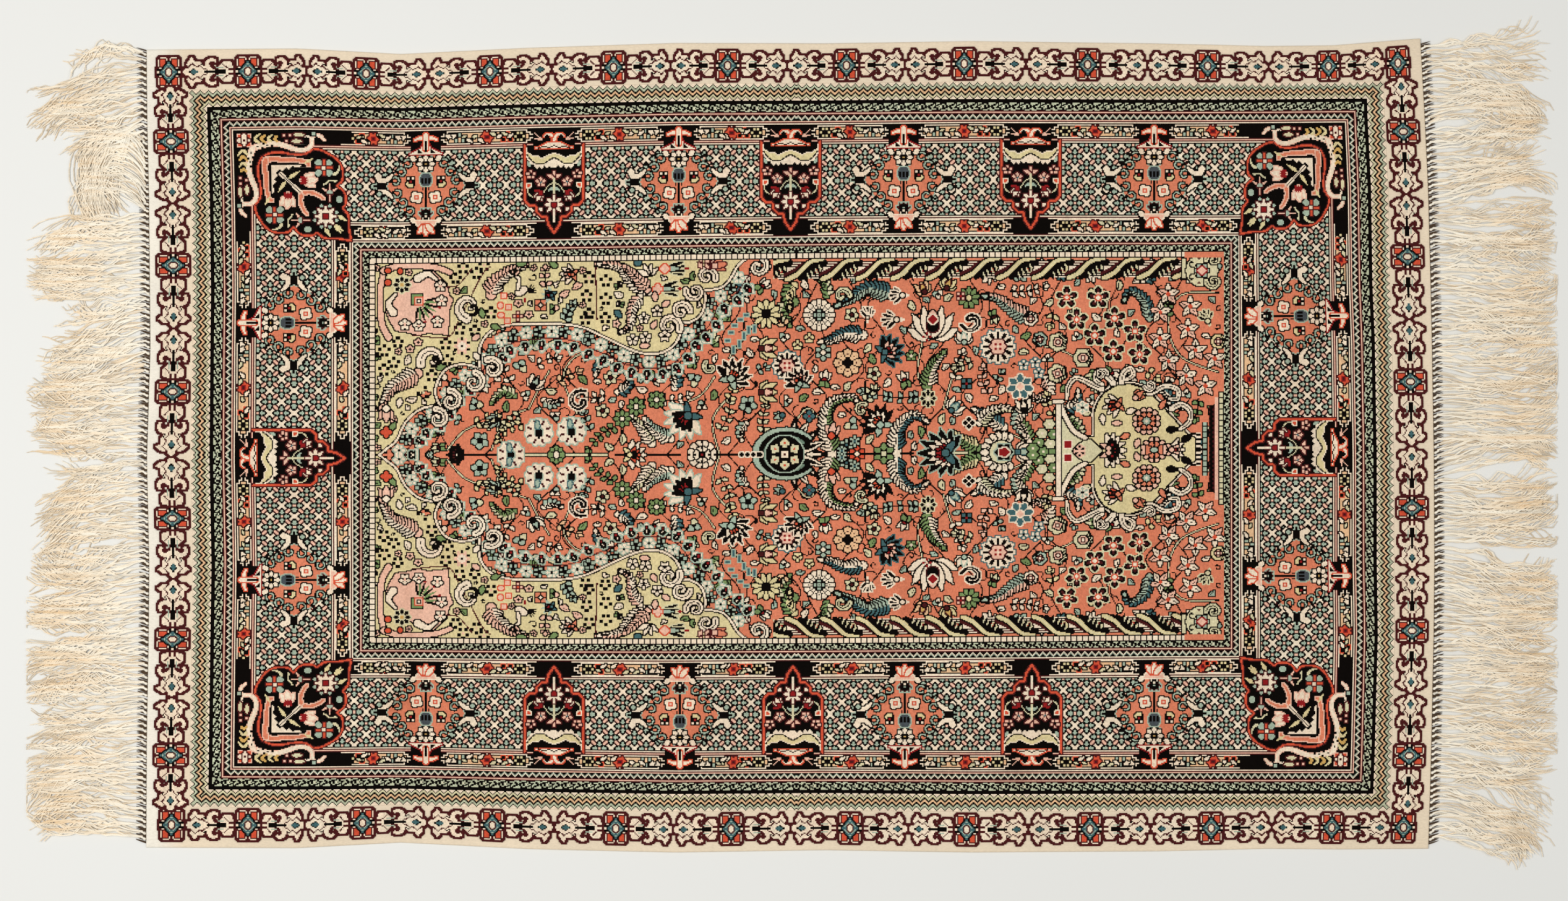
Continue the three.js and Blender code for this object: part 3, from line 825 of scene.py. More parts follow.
# Black vase cartouche of the main border, in its orange frame, pointing inwards
def vaseCartouche():
    motif = Chart(60, 98)
    for low, high, wide in ((30, 47, 18), (-48, -34, 15)):
        motif.draw(0, 0, area([(-wide, low), (-wide, high), (wide, high), (wide, low)]), 60, "black")
    rail = [
        (25.4, 34), (25.4, -14), (21.5, -18.6), (15.6, -19.5), (14.6, -25), (10.5, -29), (6, -29.4),
        (5, -36), (0, -43),
    ]
    motif.draw(0, 0, area(bothWays(rail)), 60, "black")
    motif.draw(0, 0, band(bothWays(rail), 2.0), 60, "wine")
    motif.draw(0, 0, band(bothWays(rail), 1.0), 60, "orange")
    # the drooping lime leaf under its flat cap, with a ragged ivory edge
    upper = [(23.4, 33), (22.5, 28), (18.8, 25.5), (13.5, 25), (10.3, 22.6), (5, 25.5), (0, 27.4)]
    ragged = [
        (24.4, 24.4), (20, 17), (18, 17.4), (14.8, 12.6), (12.4, 15.4), (10.3, 13), (8.2, 16), (6, 13.4),
        (4, 16), (2, 14),
    ]
    fold = [(23, 25.5), (18.8, 19.8), (14.6, 17.2), (8.2, 17.8), (4, 20.6), (0, 23)]
    motif.draw(0, 0, area(bothWays(ragged[::-1] + upper)), 50, "ivory")
    motif.draw(0, 0, area(bothWays([(u, v - 1) for u, v in upper])[::-1] + bothWays(fold)), 50, "lime")
    motif.draw(0, 0, band(bothWays(fold), 0.6), 50, "black")
    motif.draw(0, 0, area(bothWays([(18.5, 30.6), (12, 32.6), (6, 35.6), (0, 36.6)])), 50, "ivory", "orange")
    motif.draw(0, 0, band(bothWays([(14, 30.8), (9, 32.8), (4, 31.4), (0, 33.6)]), 0.55), 50, "black")
    for side in (-1, 1):
        motif.draw(
            0, 0,
            band(curve([(0, 38), (side * 2, 42), (side * 5.4, 43.4), (side * 8.4, 41.5)]), 1.4, 0.7), 60,
            "ivory", "orange",
        )
        motif.draw(side * 6, 40.6, disc(2), 4, "black")
        for rise in (0, 1):
            motif.draw(
                0, 0, band([(side * 10.5, 38.5), (side * 16.5, 39.5 + 5 * rise)], 0.8, 0.5), 60, "pink",
            )
        squareFlower(motif, side * 19.7, 8, 2.9, "pink", "black", "wine", 5, 90)
        motif.draw(side * 21, 14.4, leafShape(6, 1.4), 8, "mint", None, 90 - 14 * side)
        flower(motif, side * 11.4, 1.4, 4.3, "pink", "teal", "wine", 5, 90, 0.25)
        tulip(motif, side * 11.4, -8.6, 7.6, -62 if side > 0 else -118, "ivory", "red", "wine")
        motif.draw(side * 12.5, -6.2, block(-4.6, 3, 0.8), 7, "red", None, 6 * side)
        stem(motif, [(0, 1), (side * 5, -2), (side * 9, -8)], "celery", 0.5)
        stem(motif, [(side * 22, -2), (side * 22, -8), (side * 18, -12)], "celery", 0.5)
        motif.draw(side * 21.6, -1.4, disc(1.5), 3, "orange", "ivory")
        motif.draw(0, -3, leafShape(6.5, 1.2), 8, "mint", "black", -90 + 54 * side)
        motif.draw(side * 11.4, -22.2, disc(1.7), 4, "ivory", "wine")
    for lean in (-66, 0, 66):
        motif.draw(0, 5, leafShape(6.4, 1.5), 9, "pink", "wine", 90 + lean)
    stem(motif, [(0, 5), (0, -13)], "celery", 0.6)
    flower(motif, 0, -18.6, 8.4, "ivory", "red", "wine", 8, 90, 0.55, None, None, False)
    motif.draw(0, 0, band([(0, -27), (0, -33)], 0.9), 50, "ivory")
    return motif


# Black corner block of the main border; u and v run inwards from its outer corner, and it mirrors on its
# diagonal
def cornerBlock():
    size = 98
    motif = Chart(size, size, 0, 0)
    leafEdge = [
        (64, 16), (70, 16.2), (78, 20), (85, 25), (88.6, 31), (89.6, 37), (88.6, 44), (85, 48), (89.6, 52),
    ]
    leafEdge += [(92, 58), (91.4, 65), (89.6, 68), (94, 74), (94.5, 85), (96.5, 96.5)]
    smooth = curve(leafEdge, 5)
    outline = [(0, 0), (97, 0), (97, 11), (64, 11)] + smooth
    motif.draw(0, 0, area(outline + [(v, u) for u, v in outline[::-1]]), 200, "black")
    for swap in (False, True):
        at = (lambda u, v: (v, u)) if swap else (lambda u, v: (u, v))
        turned = (lambda a: 90 - a) if swap else (lambda a: a)

        def line(points, halfFrom, halfTo, colour, edge=None):
            motif.draw(0, 0, band([at(*spot) for spot in points], halfFrom, halfTo), 200, colour, edge)

        inner = curve([(64, 16.4), (58, 20.4), (47.5, 20.6), (39, 19), (31, 19), (25.6, 21), (22.5, 22.5)])
        for points in (smooth, inner):
            line(points, 1.6, 1.6, "wine")
            line(points, 0.8, 0.8, "orange")
        line([(64.5, 7), (60, 4.4), (56, 5.4)], 1.2, 0.6, "ivory")
        arabesque = [(74.3, 8), (71, 4.4), (66, 4), (64.2, 8), (63.4, 12.6), (59.6, 16.2), (54, 17)]
        arabesque += [(48, 15.6), (41, 12.8), (34, 11.4), (26, 11.8), (19, 13.4), (15, 15)]
        line(curve(arabesque), 1.5, 2.9, "pink")
        line(curve(arabesque), 0.8, 2.3, "ivory")
        motif.draw(*at(65.5, 2.6), disc(1.8), 4, "mint", "black")
        for u, v in ((27, 12.6), (31, 13), (23, 14.6), (19, 13.4), (24, 11)):
            motif.draw(*at(u, v), disc(0.9), 3, "black")
        for k in range(4):
            for way in (-1, 1):
                spray = leafShape(8.0 - 0.9 * k, 1.3)
                motif.draw(
                    *at(15.5 + 5.6 * k, 6.8), spray, 9, "gold" if k % 2 else "lime", None,
                    turned(-way * 36),
                )
        for u, v in ((41, 4), (46, 4), (43, 9)):
            motif.draw(*at(u, v), block(-1.4, 1.4, 1.4), 4, "pink", "wine")
        for u, v in ((49, 3.6), (47, 9.2)):
            motif.draw(*at(u, v), leafShape(9.5, 1.8), 10, "celery", "wine", turned(0))
        line(
            curve([(61, 30), (59, 27.4), (50, 25.8), (39, 25.2), (30, 24.6), (26, 25.6)]), 0.9, 1.9,
            "salmon", "pink",
        )
        teeth = [
            (54, 30), (56, 31.2), (51, 32), (48, 31), (45, 34), (42, 32), (39.6, 35.4), (37, 33.4),
            (35.4, 35.4),
        ]
        motif.draw(0, 0, area([at(*spot) for spot in [(30, 30)] + teeth]), 200, "ivory")
        motif.draw(*at(57, 28.6), leafShape(10, 1.3), 14, "lime", None, turned(-28))
        for u in (-4.3, 4.3):
            for v in (-4.3, 4.3):
                motif.draw(*at(73.7 + u, 32.3 + v), petals(4, 3.2, 0.15), 5, "mint")
        for turn in (0, 90):
            motif.draw(*at(73.7, 32.3), block(-6.8, 6.8, 1.2), 9, "orange", "wine", turn)
        motif.draw(*at(73.7, 32.3), disc(1.7), 3, "ivory", "wine")
        line(curve([(86.5, 31), (85.6, 35), (82.5, 38)]), 0.6, 1.3, "celery")
        line([(73.5, 47.4), (78, 43.4), (83.8, 43.6)], 0.7, 1.0, "celery")
        tulip(motif, *at(57, 43.4), 11.5, turned(-3), "ivory", "red", "pink")
        for way in (-1, 1):
            motif.draw(*at(53.5, 43.6 + 2.6 * way), leafShape(7, 1.6), 9, "red", None, turned(-8 * way))
        motif.draw(*at(44, 42), leafShape(12, 1.6), 14, "lime", None, turned(-34))
        small = curve([(74, 60), (68, 56), (61.5, 54), (57, 54.4)])
        line(small, 0.6, 1.7, "salmon", "pink")
        motif.draw(*at(86.5, 60.2), disc(2.9), 5, "mint")
        motif.draw(*at(78.5, 54), diamond(2.4, 3.6), 5, "mint", "wine")
        for lean in (-150, -90, -30, 90):
            motif.draw(
                *at(78.5, 54), leafShape(5.6, 1.0, 2.4), 9, "pink", "wine" if lean == 90 else None,
                turned(lean),
            )
        for u, v, lean in ((85, 74, 32), (82, 82, 52)):
            motif.draw(*at(u, v), leafShape(10, 1.7), 12, "lime", None, turned(lean))
        stem(motif, [at(38, 36.6), at(46, 45), at(56, 54)], "ivory", 0.6)
        for u in (-3.6, 3.6):
            motif.draw(*at(8 + u, 8 + abs(u)), block(-1.9, 1.9, 1.9), 4, "orange", "pink")
            motif.draw(*at(8 + u, 8 - abs(u)), block(-1.9, 1.9, 1.9), 4, "orange", "pink")
    for turn in (0, 90):
        motif.draw(8, 8, leafShape(13, 2.4, -6.5), 8, "ivory", "wine", turn)
    motif.draw(8, 8, disc(1.2), 3, "wine")
    flower(motif, 75, 75, 9.4, "ivory", "red", "wine", 8, 0, 0.5, None, None, False)
    for k in range(8):
        angle = math.radians(22.5 + 45 * k)
        motif.draw(75 + 9.8 * math.cos(angle), 75 + 9.8 * math.sin(angle), disc(1.5), 3, "mint")
    return motif


# How the photo's pixels lie on the rug, in millimetres
photo = {"middleX": 1280, "middleY": 723, "pixel": 0.58}


# Places along a side, read in the photo along a line of pixels, as knots from the middle of that side
def readAlong(side, line, pixels):
    flat = side in ("top", "bottom")
    stops = []
    for pixel in pixels:
        across, down = (pixel, line) if flat else (line, pixel)
        goalX = (across - photo["middleX"]) * photo["pixel"]
        goalY = (photo["middleY"] - down) * photo["pixel"]
        x, y = goalX, goalY
        for _ in range(30):
            atX, atY = woven(x, y)
            x = x + goalX - float(atX)
            y = y + goalY - float(atY)
        stops.append(round(x / knotX) if flat else round(y / knotY))
    return sorted(stops)


# Places of the motifs: pixels where they are read in the photo, else knots from the middle of the side
borderPlaces = {
    "top": {
        "rosettes": readAlong(
            "top", 106, (275, 402, 592, 793, 992, 1177, 1369, 1559, 1758, 1952, 2146, 2258),
        ),
        "medallions": readAlong("top", 290, (689, 1097.5, 1460, 1864)),
        "vases": readAlong("top", 290, (896, 1278.5, 1666)),
    },
    "bottom": {
        "rosettes": readAlong(
            "bottom", 1332, (278, 402, 588, 797, 996, 1183, 1374, 1563, 1762, 1958, 2152, 2268),
        ),
        "medallions": (-318, -100, 93, 307),
        "vases": (-208, -3, 202),
    },
    "left": {
        "rosettes": readAlong("left", 277, (118.5, 230, 428.5, 633, 837, 1032, 1220, 1331)),
        "medallions": (-116, 117),
        "vases": (-3,),
    },
    "right": {
        "rosettes": readAlong("right", 2274, (104, 214, 416, 617, 821, 1019, 1221, 1335)),
        "medallions": (-116, 117),
        "vases": (1,),
    },
}


# Middles of the rows of motifs and half sizes of what stands in them, in knots
motifRows = {"chain": 20, "rosetteHalf": 12, "main": 121, "medallionGap": 12, "vaseGap": 17}


# Raised motifs of the flat-woven border: rosettes, with palmettes that point away from them
def layChain(cells, side, stops):
    middle = motifRows["chain"]
    foot = motifRows["rosetteHalf"]
    rosetteMotif = rosette()
    for k, (place, following) in enumerate(zip(stops, stops[1:])):
        room = following - place - 2 * foot
        if k in (0, len(stops) - 2):
            layMotif(cells, palmette(int(room)), side, (place + following) / 2, middle, k == 0)
        else:
            length = int(room / 2 - 0.5)
            motif = palmette(length)
            layMotif(cells, motif, side, place + foot + length / 2, middle)
            layMotif(cells, motif, side, following - foot - length / 2, middle, True)
    for k, place in enumerate(stops):
        if side in ("top", "bottom") or 0 < k < len(stops) - 1:
            layMotif(cells, rosetteMotif, side, place, middle)


# The main border: cartouches in its two narrow rows, then medallions and vases across all three
def layMainBorder(cells, side, medallions, vases):
    end = halfLong if side in ("top", "bottom") else halfLow
    gaps = {place: motifRows["medallionGap"] for place in medallions}
    gaps |= {place: motifRows["vaseGap"] for place in vases}
    stops = sorted(gaps)
    for row, corner in (("cartouchesOuter", 155), ("cartouchesInner", 172)):
        low, high = bands[row]
        pieces = [
            (first + gaps[first], second - gaps[second], second in vases)
            for first, second in zip(stops, stops[1:])
        ]
        pieces += [
            (corner - end, stops[0] - gaps[stops[0]], False),
            (stops[-1] + gaps[stops[-1]], end - corner, True),
        ]
        for first, last, flowerLast in pieces:
            motif = cartouche(int(last - first), high - low, flowerLast)
            layMotif(cells, motif, side, (first + last) / 2, (low + high) / 2)
    for place in medallions:
        layMotif(cells, medallion(), side, place, motifRows["main"])
    for place in vases:
        layMotif(cells, vaseCartouche(), side, place, motifRows["main"])


def layCorners(cells):
    piece = cornerBlock().cells
    start = bands["cartouchesOuter"][0]
    height, width = piece.shape
    for flipped in (cells, cells[::-1], cells[:, ::-1], cells[::-1, ::-1]):
        patch = flipped[start:start + height, start:start + width]
        patch[piece != bare] = piece[piece != bare]


def borderChart():
    quarter = borderGround()
    half = np.concatenate([quarter, quarter[:, ::-1]], axis=1)
    cells = np.concatenate([half[::-1], half], axis=0)
    for side, places in borderPlaces.items():
        layChain(cells, side, places["rosettes"])
        layMainBorder(cells, side, places["medallions"], places["vases"])
    layCorners(cells)
    return cells


# The field. x runs along the rug from its middle, y across it from the middle line; only the upper half is
# drawn
niche = {
    "foot": [(-362, -3), (-352, 5), (-343, 13), (-336, 28), (-325, 39), (-314, 42.8), (-304, 42)],
    "shoulder": [(-306, 44), (-310, 55), (-307, 67), (-300, 76), (-289, 79.7), (-278, 78.5), (-271.5, 75)],
    "arch": [
        (-272, 78), (-272, 93), (-267, 104), (-259, 110.5), (-245, 114.5), (-227, 115), (-209, 115),
        (-192, 113.6),
        (-178, 109.5), (-163, 102), (-149, 95), (-136, 89.6), (-124, 87.8), (-113, 90), (-104, 96.5),
        (-99.5, 106),
        (-99.4, 114.5),
    ],
    "step": [(-99, 114.5), (-91, 115.5), (-83, 120.4), (-78.7, 130), (-78.5, 142)],
    "end": [(-78.5, 142.6), (-70, 143.8), (-63, 146), (-57, 152), (-52, 161), (-47, 167), (-38, 173)],
}
nicheRun = [
    (-361, -8), (-347, 8), (-334, 30), (-316, 43), (-303, 62), (-288, 76), (-272, 90), (-256, 108),
    (-227, 115),
]
nicheRun += [
    (-192, 114), (-163, 102), (-136, 90), (-113, 91), (-100, 108), (-86, 120), (-78, 138), (-62, 149),
    (-50, 166),
]


# Points along a run at even steps, moved off to its right by so many knots
def besideRun(points, off, every):
    path = np.array(curve(points, 10))
    leg = np.hypot(*np.diff(path, axis=0).T)
    reach = np.concatenate([[0], np.cumsum(leg)])
    marks = np.arange(0, reach[-1], 0.5)
    at = np.stack([np.interp(marks, reach, path[:, k]) for k in (0, 1)], axis=1)
    way = np.gradient(at, axis=0)
    way /= np.linalg.norm(way, axis=1, keepdims=True)
    moved = at + off * np.stack([way[:, 1], -way[:, 0]], axis=1)
    clear = np.array([np.hypot(*(at - spot).T).min() for spot in moved]) > off * 0.93
    kept = []
    since = every
    last = None
    for spot, direction, free in zip(moved, way, clear):
        if last is not None:
            since += math.hypot(*(spot - last))
        last = spot
        if free and since >= every:
            kept.append((spot[0], spot[1], math.degrees(math.atan2(direction[1], direction[0]))))
            since = 0.0
    return kept


def fieldNiche(chart):
    run = sum((curve(part, 6) for part in niche.values()), [])
    chart.fill(run + [(-38, 180), (-370, 180), (-370, -3)], "lime")
    for x, y, turn in besideRun(nicheRun, 13.5, 1.0):
        chart.draw(x, y, block(-0.9, 0.9, 0.5), 3, "wine", None, turn)
    for k, (x, y, turn) in enumerate(besideRun(nicheRun, 7.2, 10.8)):
        if k % 2:
            squareFlower(chart, x, y, 3.4, "mint", "black", "black", 5, turn)
        else:
            flower(chart, x, y, 5.0, "ivory", "black", "mint", 6, turn, 0.25)
    for x, y, turn in besideRun(nicheRun, 21.5, 13.6):
        hoodedFlower(chart, x, y, 5.6, turn)
    for part in niche.values():
        chart.trace(curve(part, 6), 1.9, None, "black")
        chart.trace(curve(part, 6), 0.9, None, "ivory")
    for x, y, reach, start, clockwise in (
        # volutes at the joints of the niche: place, size, where the curl starts, which way it turns
        (-308, 32, 8.5, 100, True), (-297, 48, 9, 95, True), (-277, 64, 9, 80, True),
        (-261, 76, 9, 120, True),
        (-109, 112, 9.5, -20, False), (-99, 125, 8, 0, False), (-87, 142, 8, 170, False),
        (-77, 155, 8, -20, False),
        (-33, 163, 9, 100, True),
    ):
        volute(chart, x, y, reach, start, clockwise)


# Lime ground of the niche: a pink corner ornament, clusters of dark squares, arabesque leaves and tulips
def fieldSpandrel(chart):
    for points, way in (
        ([(-350, 104), (-356, 118), (-357, 145), (-354, 162)], 1),
        ([(-354, 163), (-340, 167), (-312, 166), (-297, 161)], 1),
    ):
        chart.trace(curve(points), 2.6, 2.0, "pink", "black")
    device = [
        (-349.5, 120), (-352, 127), (-350.5, 136), (-342, 144), (-331, 154), (-322, 161), (-312, 162),
        (-300, 151),
    ]
    device += [
        (-298, 141), (-295, 137), (-297.5, 129), (-299, 106), (-316, 108), (-324.5, 106), (-334, 108.5),
        (-344, 110),
    ]
    chart.fill(device, "pink", "black")
    for points in ([(-346, 126), (-350, 134), (-344, 142)], [(-325, 156), (-316, 160), (-309, 155)]):
        chart.trace(curve(points), 3.2, 1.0, "ivory", "black")
    for k in range(9):
        chart.draw(
            -324, 135, leafShape(15, 1.1, 4), 22, "black" if k % 2 == 0 else "green", None, -100 + 14 * k,
        )
        chart.draw(-324, 135, leafShape(3, 1.2, 17), 22, "red", None, -100 + 28 * (k // 2))
    chart.draw(-325.5, 137.5, block(-4.2, 4.2, 4.2), 7, "green", "black")
    chart.draw(-324, 136, block(-3.2, 3.2, 3.2), 6, "pink", "orange")
    chart.draw(-324, 136, block(-1.4, 1.4, 1.4), 4, "ivory", "black")
    for x, y in ((-305.5, 149), (-304.5, 136), (-308, 117.5), (-324, 114), (-336, 115.5)):
        flower(chart, x, y, 4.9, "ivory", "pink", "black", 5, 90, 0.3)
    for x, y in ((-350.6, 163), (-340, 162.5), (-350.6, 152.5)):
        chart.draw(x, y, disc(2.4), 4, "orange", "black")
    flower(chart, -338.5, 150.5, 7.4, "black", "gold", "celery", 8, 0, 0.25)
    for x, y in (
        (-286, 165), (-292.5, 155.5), (-268, 167), (-274.5, 160), (-262, 125), (-289, 111), (-276, 109.5),
        (-342, 99.5),
        (-353.5, 92), (-345.5, 81.5), (-354, 75), (-301, 98), (-299.5, 83.5), (-313, 70), (-181, 119),
        (-178, 155),
        (-163.5, 152), (-180, 139), (-163.5, 136), (-178, 123.5), (-164, 119.5),
    ):
        squareFlower(chart, x, y, 4.1, "black", "pink")
    for k in range(12):
        angle = math.radians(30 * k)
        chart.draw(
            -287 + 6.2 * math.cos(angle), 96 + 6.2 * math.sin(angle), block(-1.3, 1.3, 1.3), 3,
            "black" if k % 2 else "pink",
        )
    chart.draw(-287, 96, disc(3.8), 5, "ivory", "pink")
    chart.draw(-287, 96, block(-1.3, 1.3, 1.3), 3, "black")
    stem(chart, [(-330, 106), (-300, 104), (-290, 118), (-270, 158), (-262, 166)], "wine")
    stem(chart, [(-300, 148), (-290, 150), (-278, 165)], "wine")
    stem(chart, [(-172, 168), (-172, 150), (-171, 118)], "wine")
    # arabesques, each a curl that runs out in a feathered leaf
    for x, y, reach, start, clockwise, leaf in (
        (-281, 131, 11, -100, True, [(-262, 141), (-258, 152), (-246, 161), (-232, 167)]),
        (-312, 84, 11, 200, True, [(-325, 72), (-334, 67), (-348, 58), (-357, 40)]),
    ):
        volute(chart, x, y, reach, start, clockwise, "ivory", 0.9, 0.34)
        featherLeaf(chart, leaf, 7.5, "pink", "ivory")
    chart.draw(-277, 129, band(scrollPoints(-1, 0, 6, 0.6, -100, False), 1.6), 12, "black")
    chart.draw(-310, 84, band(scrollPoints(-1, 0, 6, 0.6, -100, False), 1.6), 12, "black")
    featherLeaf(chart, [(-126, 142), (-140, 150), (-152, 164), (-172, 167)], 6, "ivory", "pink")
    featherLeaf(chart, [(-128, 144), (-136, 154), (-148, 165)], 5.2, "pink", "pink")
    featherLeaf(chart, [(-134, 138), (-141, 126), (-143, 112), (-152, 107)], 4.6, "ivory", "pink")
    for x, y in ((-251, 140), (-254, 131.5), (-247, 130), (-253.5, 123), (-248, 118)):
        chart.draw(x, y, disc(2.4), 4, "pink", "orange")
    squareFlower(chart, -239, 122, 2.8, "pink", "orange", "wine", 4, 0)
    flower(chart, -219.5, 131.5, 5.8, "salmon", "ivory", "black", 4, 45, 0.3)
    carnation(chart, -210, 140, 9.5, 170, "mint", "slate", "red", "teal", None, 5)
    carnation(chart, -192, 158, 11, 175, "ivory", "pink", "orange", "salmon", "black", 5)
    sprig(chart, -199, 117, 17, 62, "mint", "black", 4, 1.5)
    sprig(chart, -214, 146, 17, 95, "pink", "black", 3, 1)
    # a small bird among the sprays
    chart.draw(-236, 144, oval(5.5, 3.2), 8, "ivory", "black", 35)
    for k in range(5):
        chart.draw(-231, 143, leafShape(9, 0.8), 12, "black", None, 62 - 17 * k)
    chart.trace(curve([(-239, 146), (-238, 154), (-241, 158)]), 1.4, 1.0, "ivory", "black")
    for k in range(4):
        chart.draw(-241, 158, leafShape(5.5, 0.8), 8, "pink", "black", 130 - 26 * k)
    chart.draw(-233, 136, block(-1.1, 1.1, 2.2), 4, "red")
    for x, y, turn in ((-113, 162, 0), (-119, 144.5, 0)):
        for lean in (-20, -7, 7, 20):
            chart.draw(x, y, leafShape(17, 1.7, 2), 22, "black", "celery", turn + lean)
        chart.draw(x, y, leafShape(14, 1.8), 18, "mint", "black", turn)
        chart.draw(x, y, petals(4, 4.2, 0.3), 7, "pink", "orange")
        chart.draw(x + 19, y, diamond(2.2, 1.8), 4, "red")
    sprig(chart, -86, 168, 14, -10, "pink", "wine", 3)
    tulip(chart, -70, 164, 11, 10, "salmon", "pink", "wine")
    chart.draw(-136, 168, disc(3.4), 5, "teal", "black")
    for turn in (40, 75, 110, 150):
        chart.draw(-127, 156, leafShape(11, 1.9), 13, "ivory", "black", turn)
    for x, y in ((-131, 119), (-119.5, 125), (-140.5, 100.5), (-129.5, 102.5), (-113, 103.5)):
        flower(chart, x, y, 4.8, "ivory", "black", "black", 5, 90, 0.3)
    for x, y, turn, colour in (
        (-121, 134, 95, "pink"), (-115, 129, 40, "pink"), (-134, 94.5, 10, "pink"), (-124, 110, 60, "pink"),
        (-155.5, 126, -50, "teal"), (-269, 121, 100, "green"), (-262, 114, -20, "green"),
        (-278, 101, 40, "pink"),
        (-277, 90, -50, "ivory"), (-322, 52, 20, "salmon"), (-340, 50, -100, "ivory"),
        (-345, 34, -95, "pink"),
        (-348, 22, 60, "green"), (-309, 76, 20, "green"), (-240, 168, 0, "green"), (-205, 165, 150, "green"),
    ):
        chart.draw(x, y, leafShape(8.5, 2.3), 11, colour, "black", turn)
    chart.draw(-352, 20, petals(4, 4.6, 0.25), 7, "orange", "black")
    squareFlower(chart, -320, 55, 4.6, "black", "celery", None, 3, 70)
    tulip(chart, -352, 41, 13, -90, "pink", "ivory")


# Wound column along the long edge of the field, with a capital at its end
def fieldColumn(chart):
    low, high, first, last = 151.0, 168.0, -16.0, 331.0
    middle = (low + high) / 2
    column = Chart(chart.cells.shape[1], chart.cells.shape[0], chart.middleX, chart.middleY)
    column.fill([(first, low + 1.5), (last, low + 1.5), (last, high - 1.5), (first, high - 1.5)], "ivory")
    for y, colour in (
        (low + 2.0, "black"), (low + 4.0, "wine"), (high - 4.0, "wine"), (high - 2.0, "black"),
        (low + 6, "pink"), (high - 6, "black"),
    ):
        column.fill([(first, y), (last, y), (last, y + 1), (first, y + 1)], colour)
    step = 30.2
    for k in range(13):
        x = -33.0 + step * k
        if x + 15 < last:
            column.draw(x + 20, middle, petals(5, 4.6, 0.25), 6, "celery" if k % 2 else "lime", "black", 90)
            column.draw(x + 20, middle, disc(1.2), 3, "orange", "red")
        shade = curve([(x - 6, low + 4), (x + 1, middle - 1), (x + 8, middle + 4), (x + 14, high - 2.5)])
        column.trace(shade, 2.4, 2.0, "wine")
        shade = curve([(x + 6, low + 2.5), (x + 12, middle - 2), (x + 18, high - 5), (x + 27, high - 2.5)])
        column.trace(shade, 3.2, 3.0, "black")
        for tooth in range(4):
            spot = (x + 10 + 3.4 * tooth, middle - 3 + 2.2 * tooth)
            column.draw(*spot, leafShape(8, 1.1), 9, "black", None, -70)
            column.draw(spot[0] + 1.7, spot[1] + 0.8, leafShape(6, 0.7), 9, "celery", None, -70)
        leaf = curve([
            (x - 5, low + 0.5), (x + 3, low + 4.5), (x + 9, middle + 2),
            (x + 15, high - 1.5), (x + 25, high + 0.5),
        ])
        column.trace(leaf, 2.0, 1.5, "lime", "black")
        column.trace(leaf, 0.4, None, "celery")
    rows, columns = np.mgrid[0:chart.cells.shape[0], 0:chart.cells.shape[1]]
    x = columns + 0.5 - chart.middleX
    bounded = (x >= -20) & (x <= last) & (column.cells != bare)
    chart.cells[bounded] = column.cells[bounded]
    chart.draw(last + 1.5, middle, block(-1.5, 1.5, 8), 12, "celery", "black")
    chart.draw(348, 157.5, oval(13.6, 14), 20, "celery", "black")
    chart.draw(348, 157.5, petals(6, 6.4, 0.3), 9, "mint", "black")
    chart.draw(348, 157.5, petals(4, 3.6, 0.3), 6, "pink", "red")
    for way in (-1, 1):
        chart.trace(scrollPoints(339.5, 157.5 + way * 6, 4, 0.9, 0, way > 0), 0.6, None, "black")
        volute(chart, 358, 157.5 + way * 9.5, 6.4, 180, way > 0, "celery")
        chart.draw(345.5, 157.5 + way * 10.6, disc(1.1), 3, "wine")


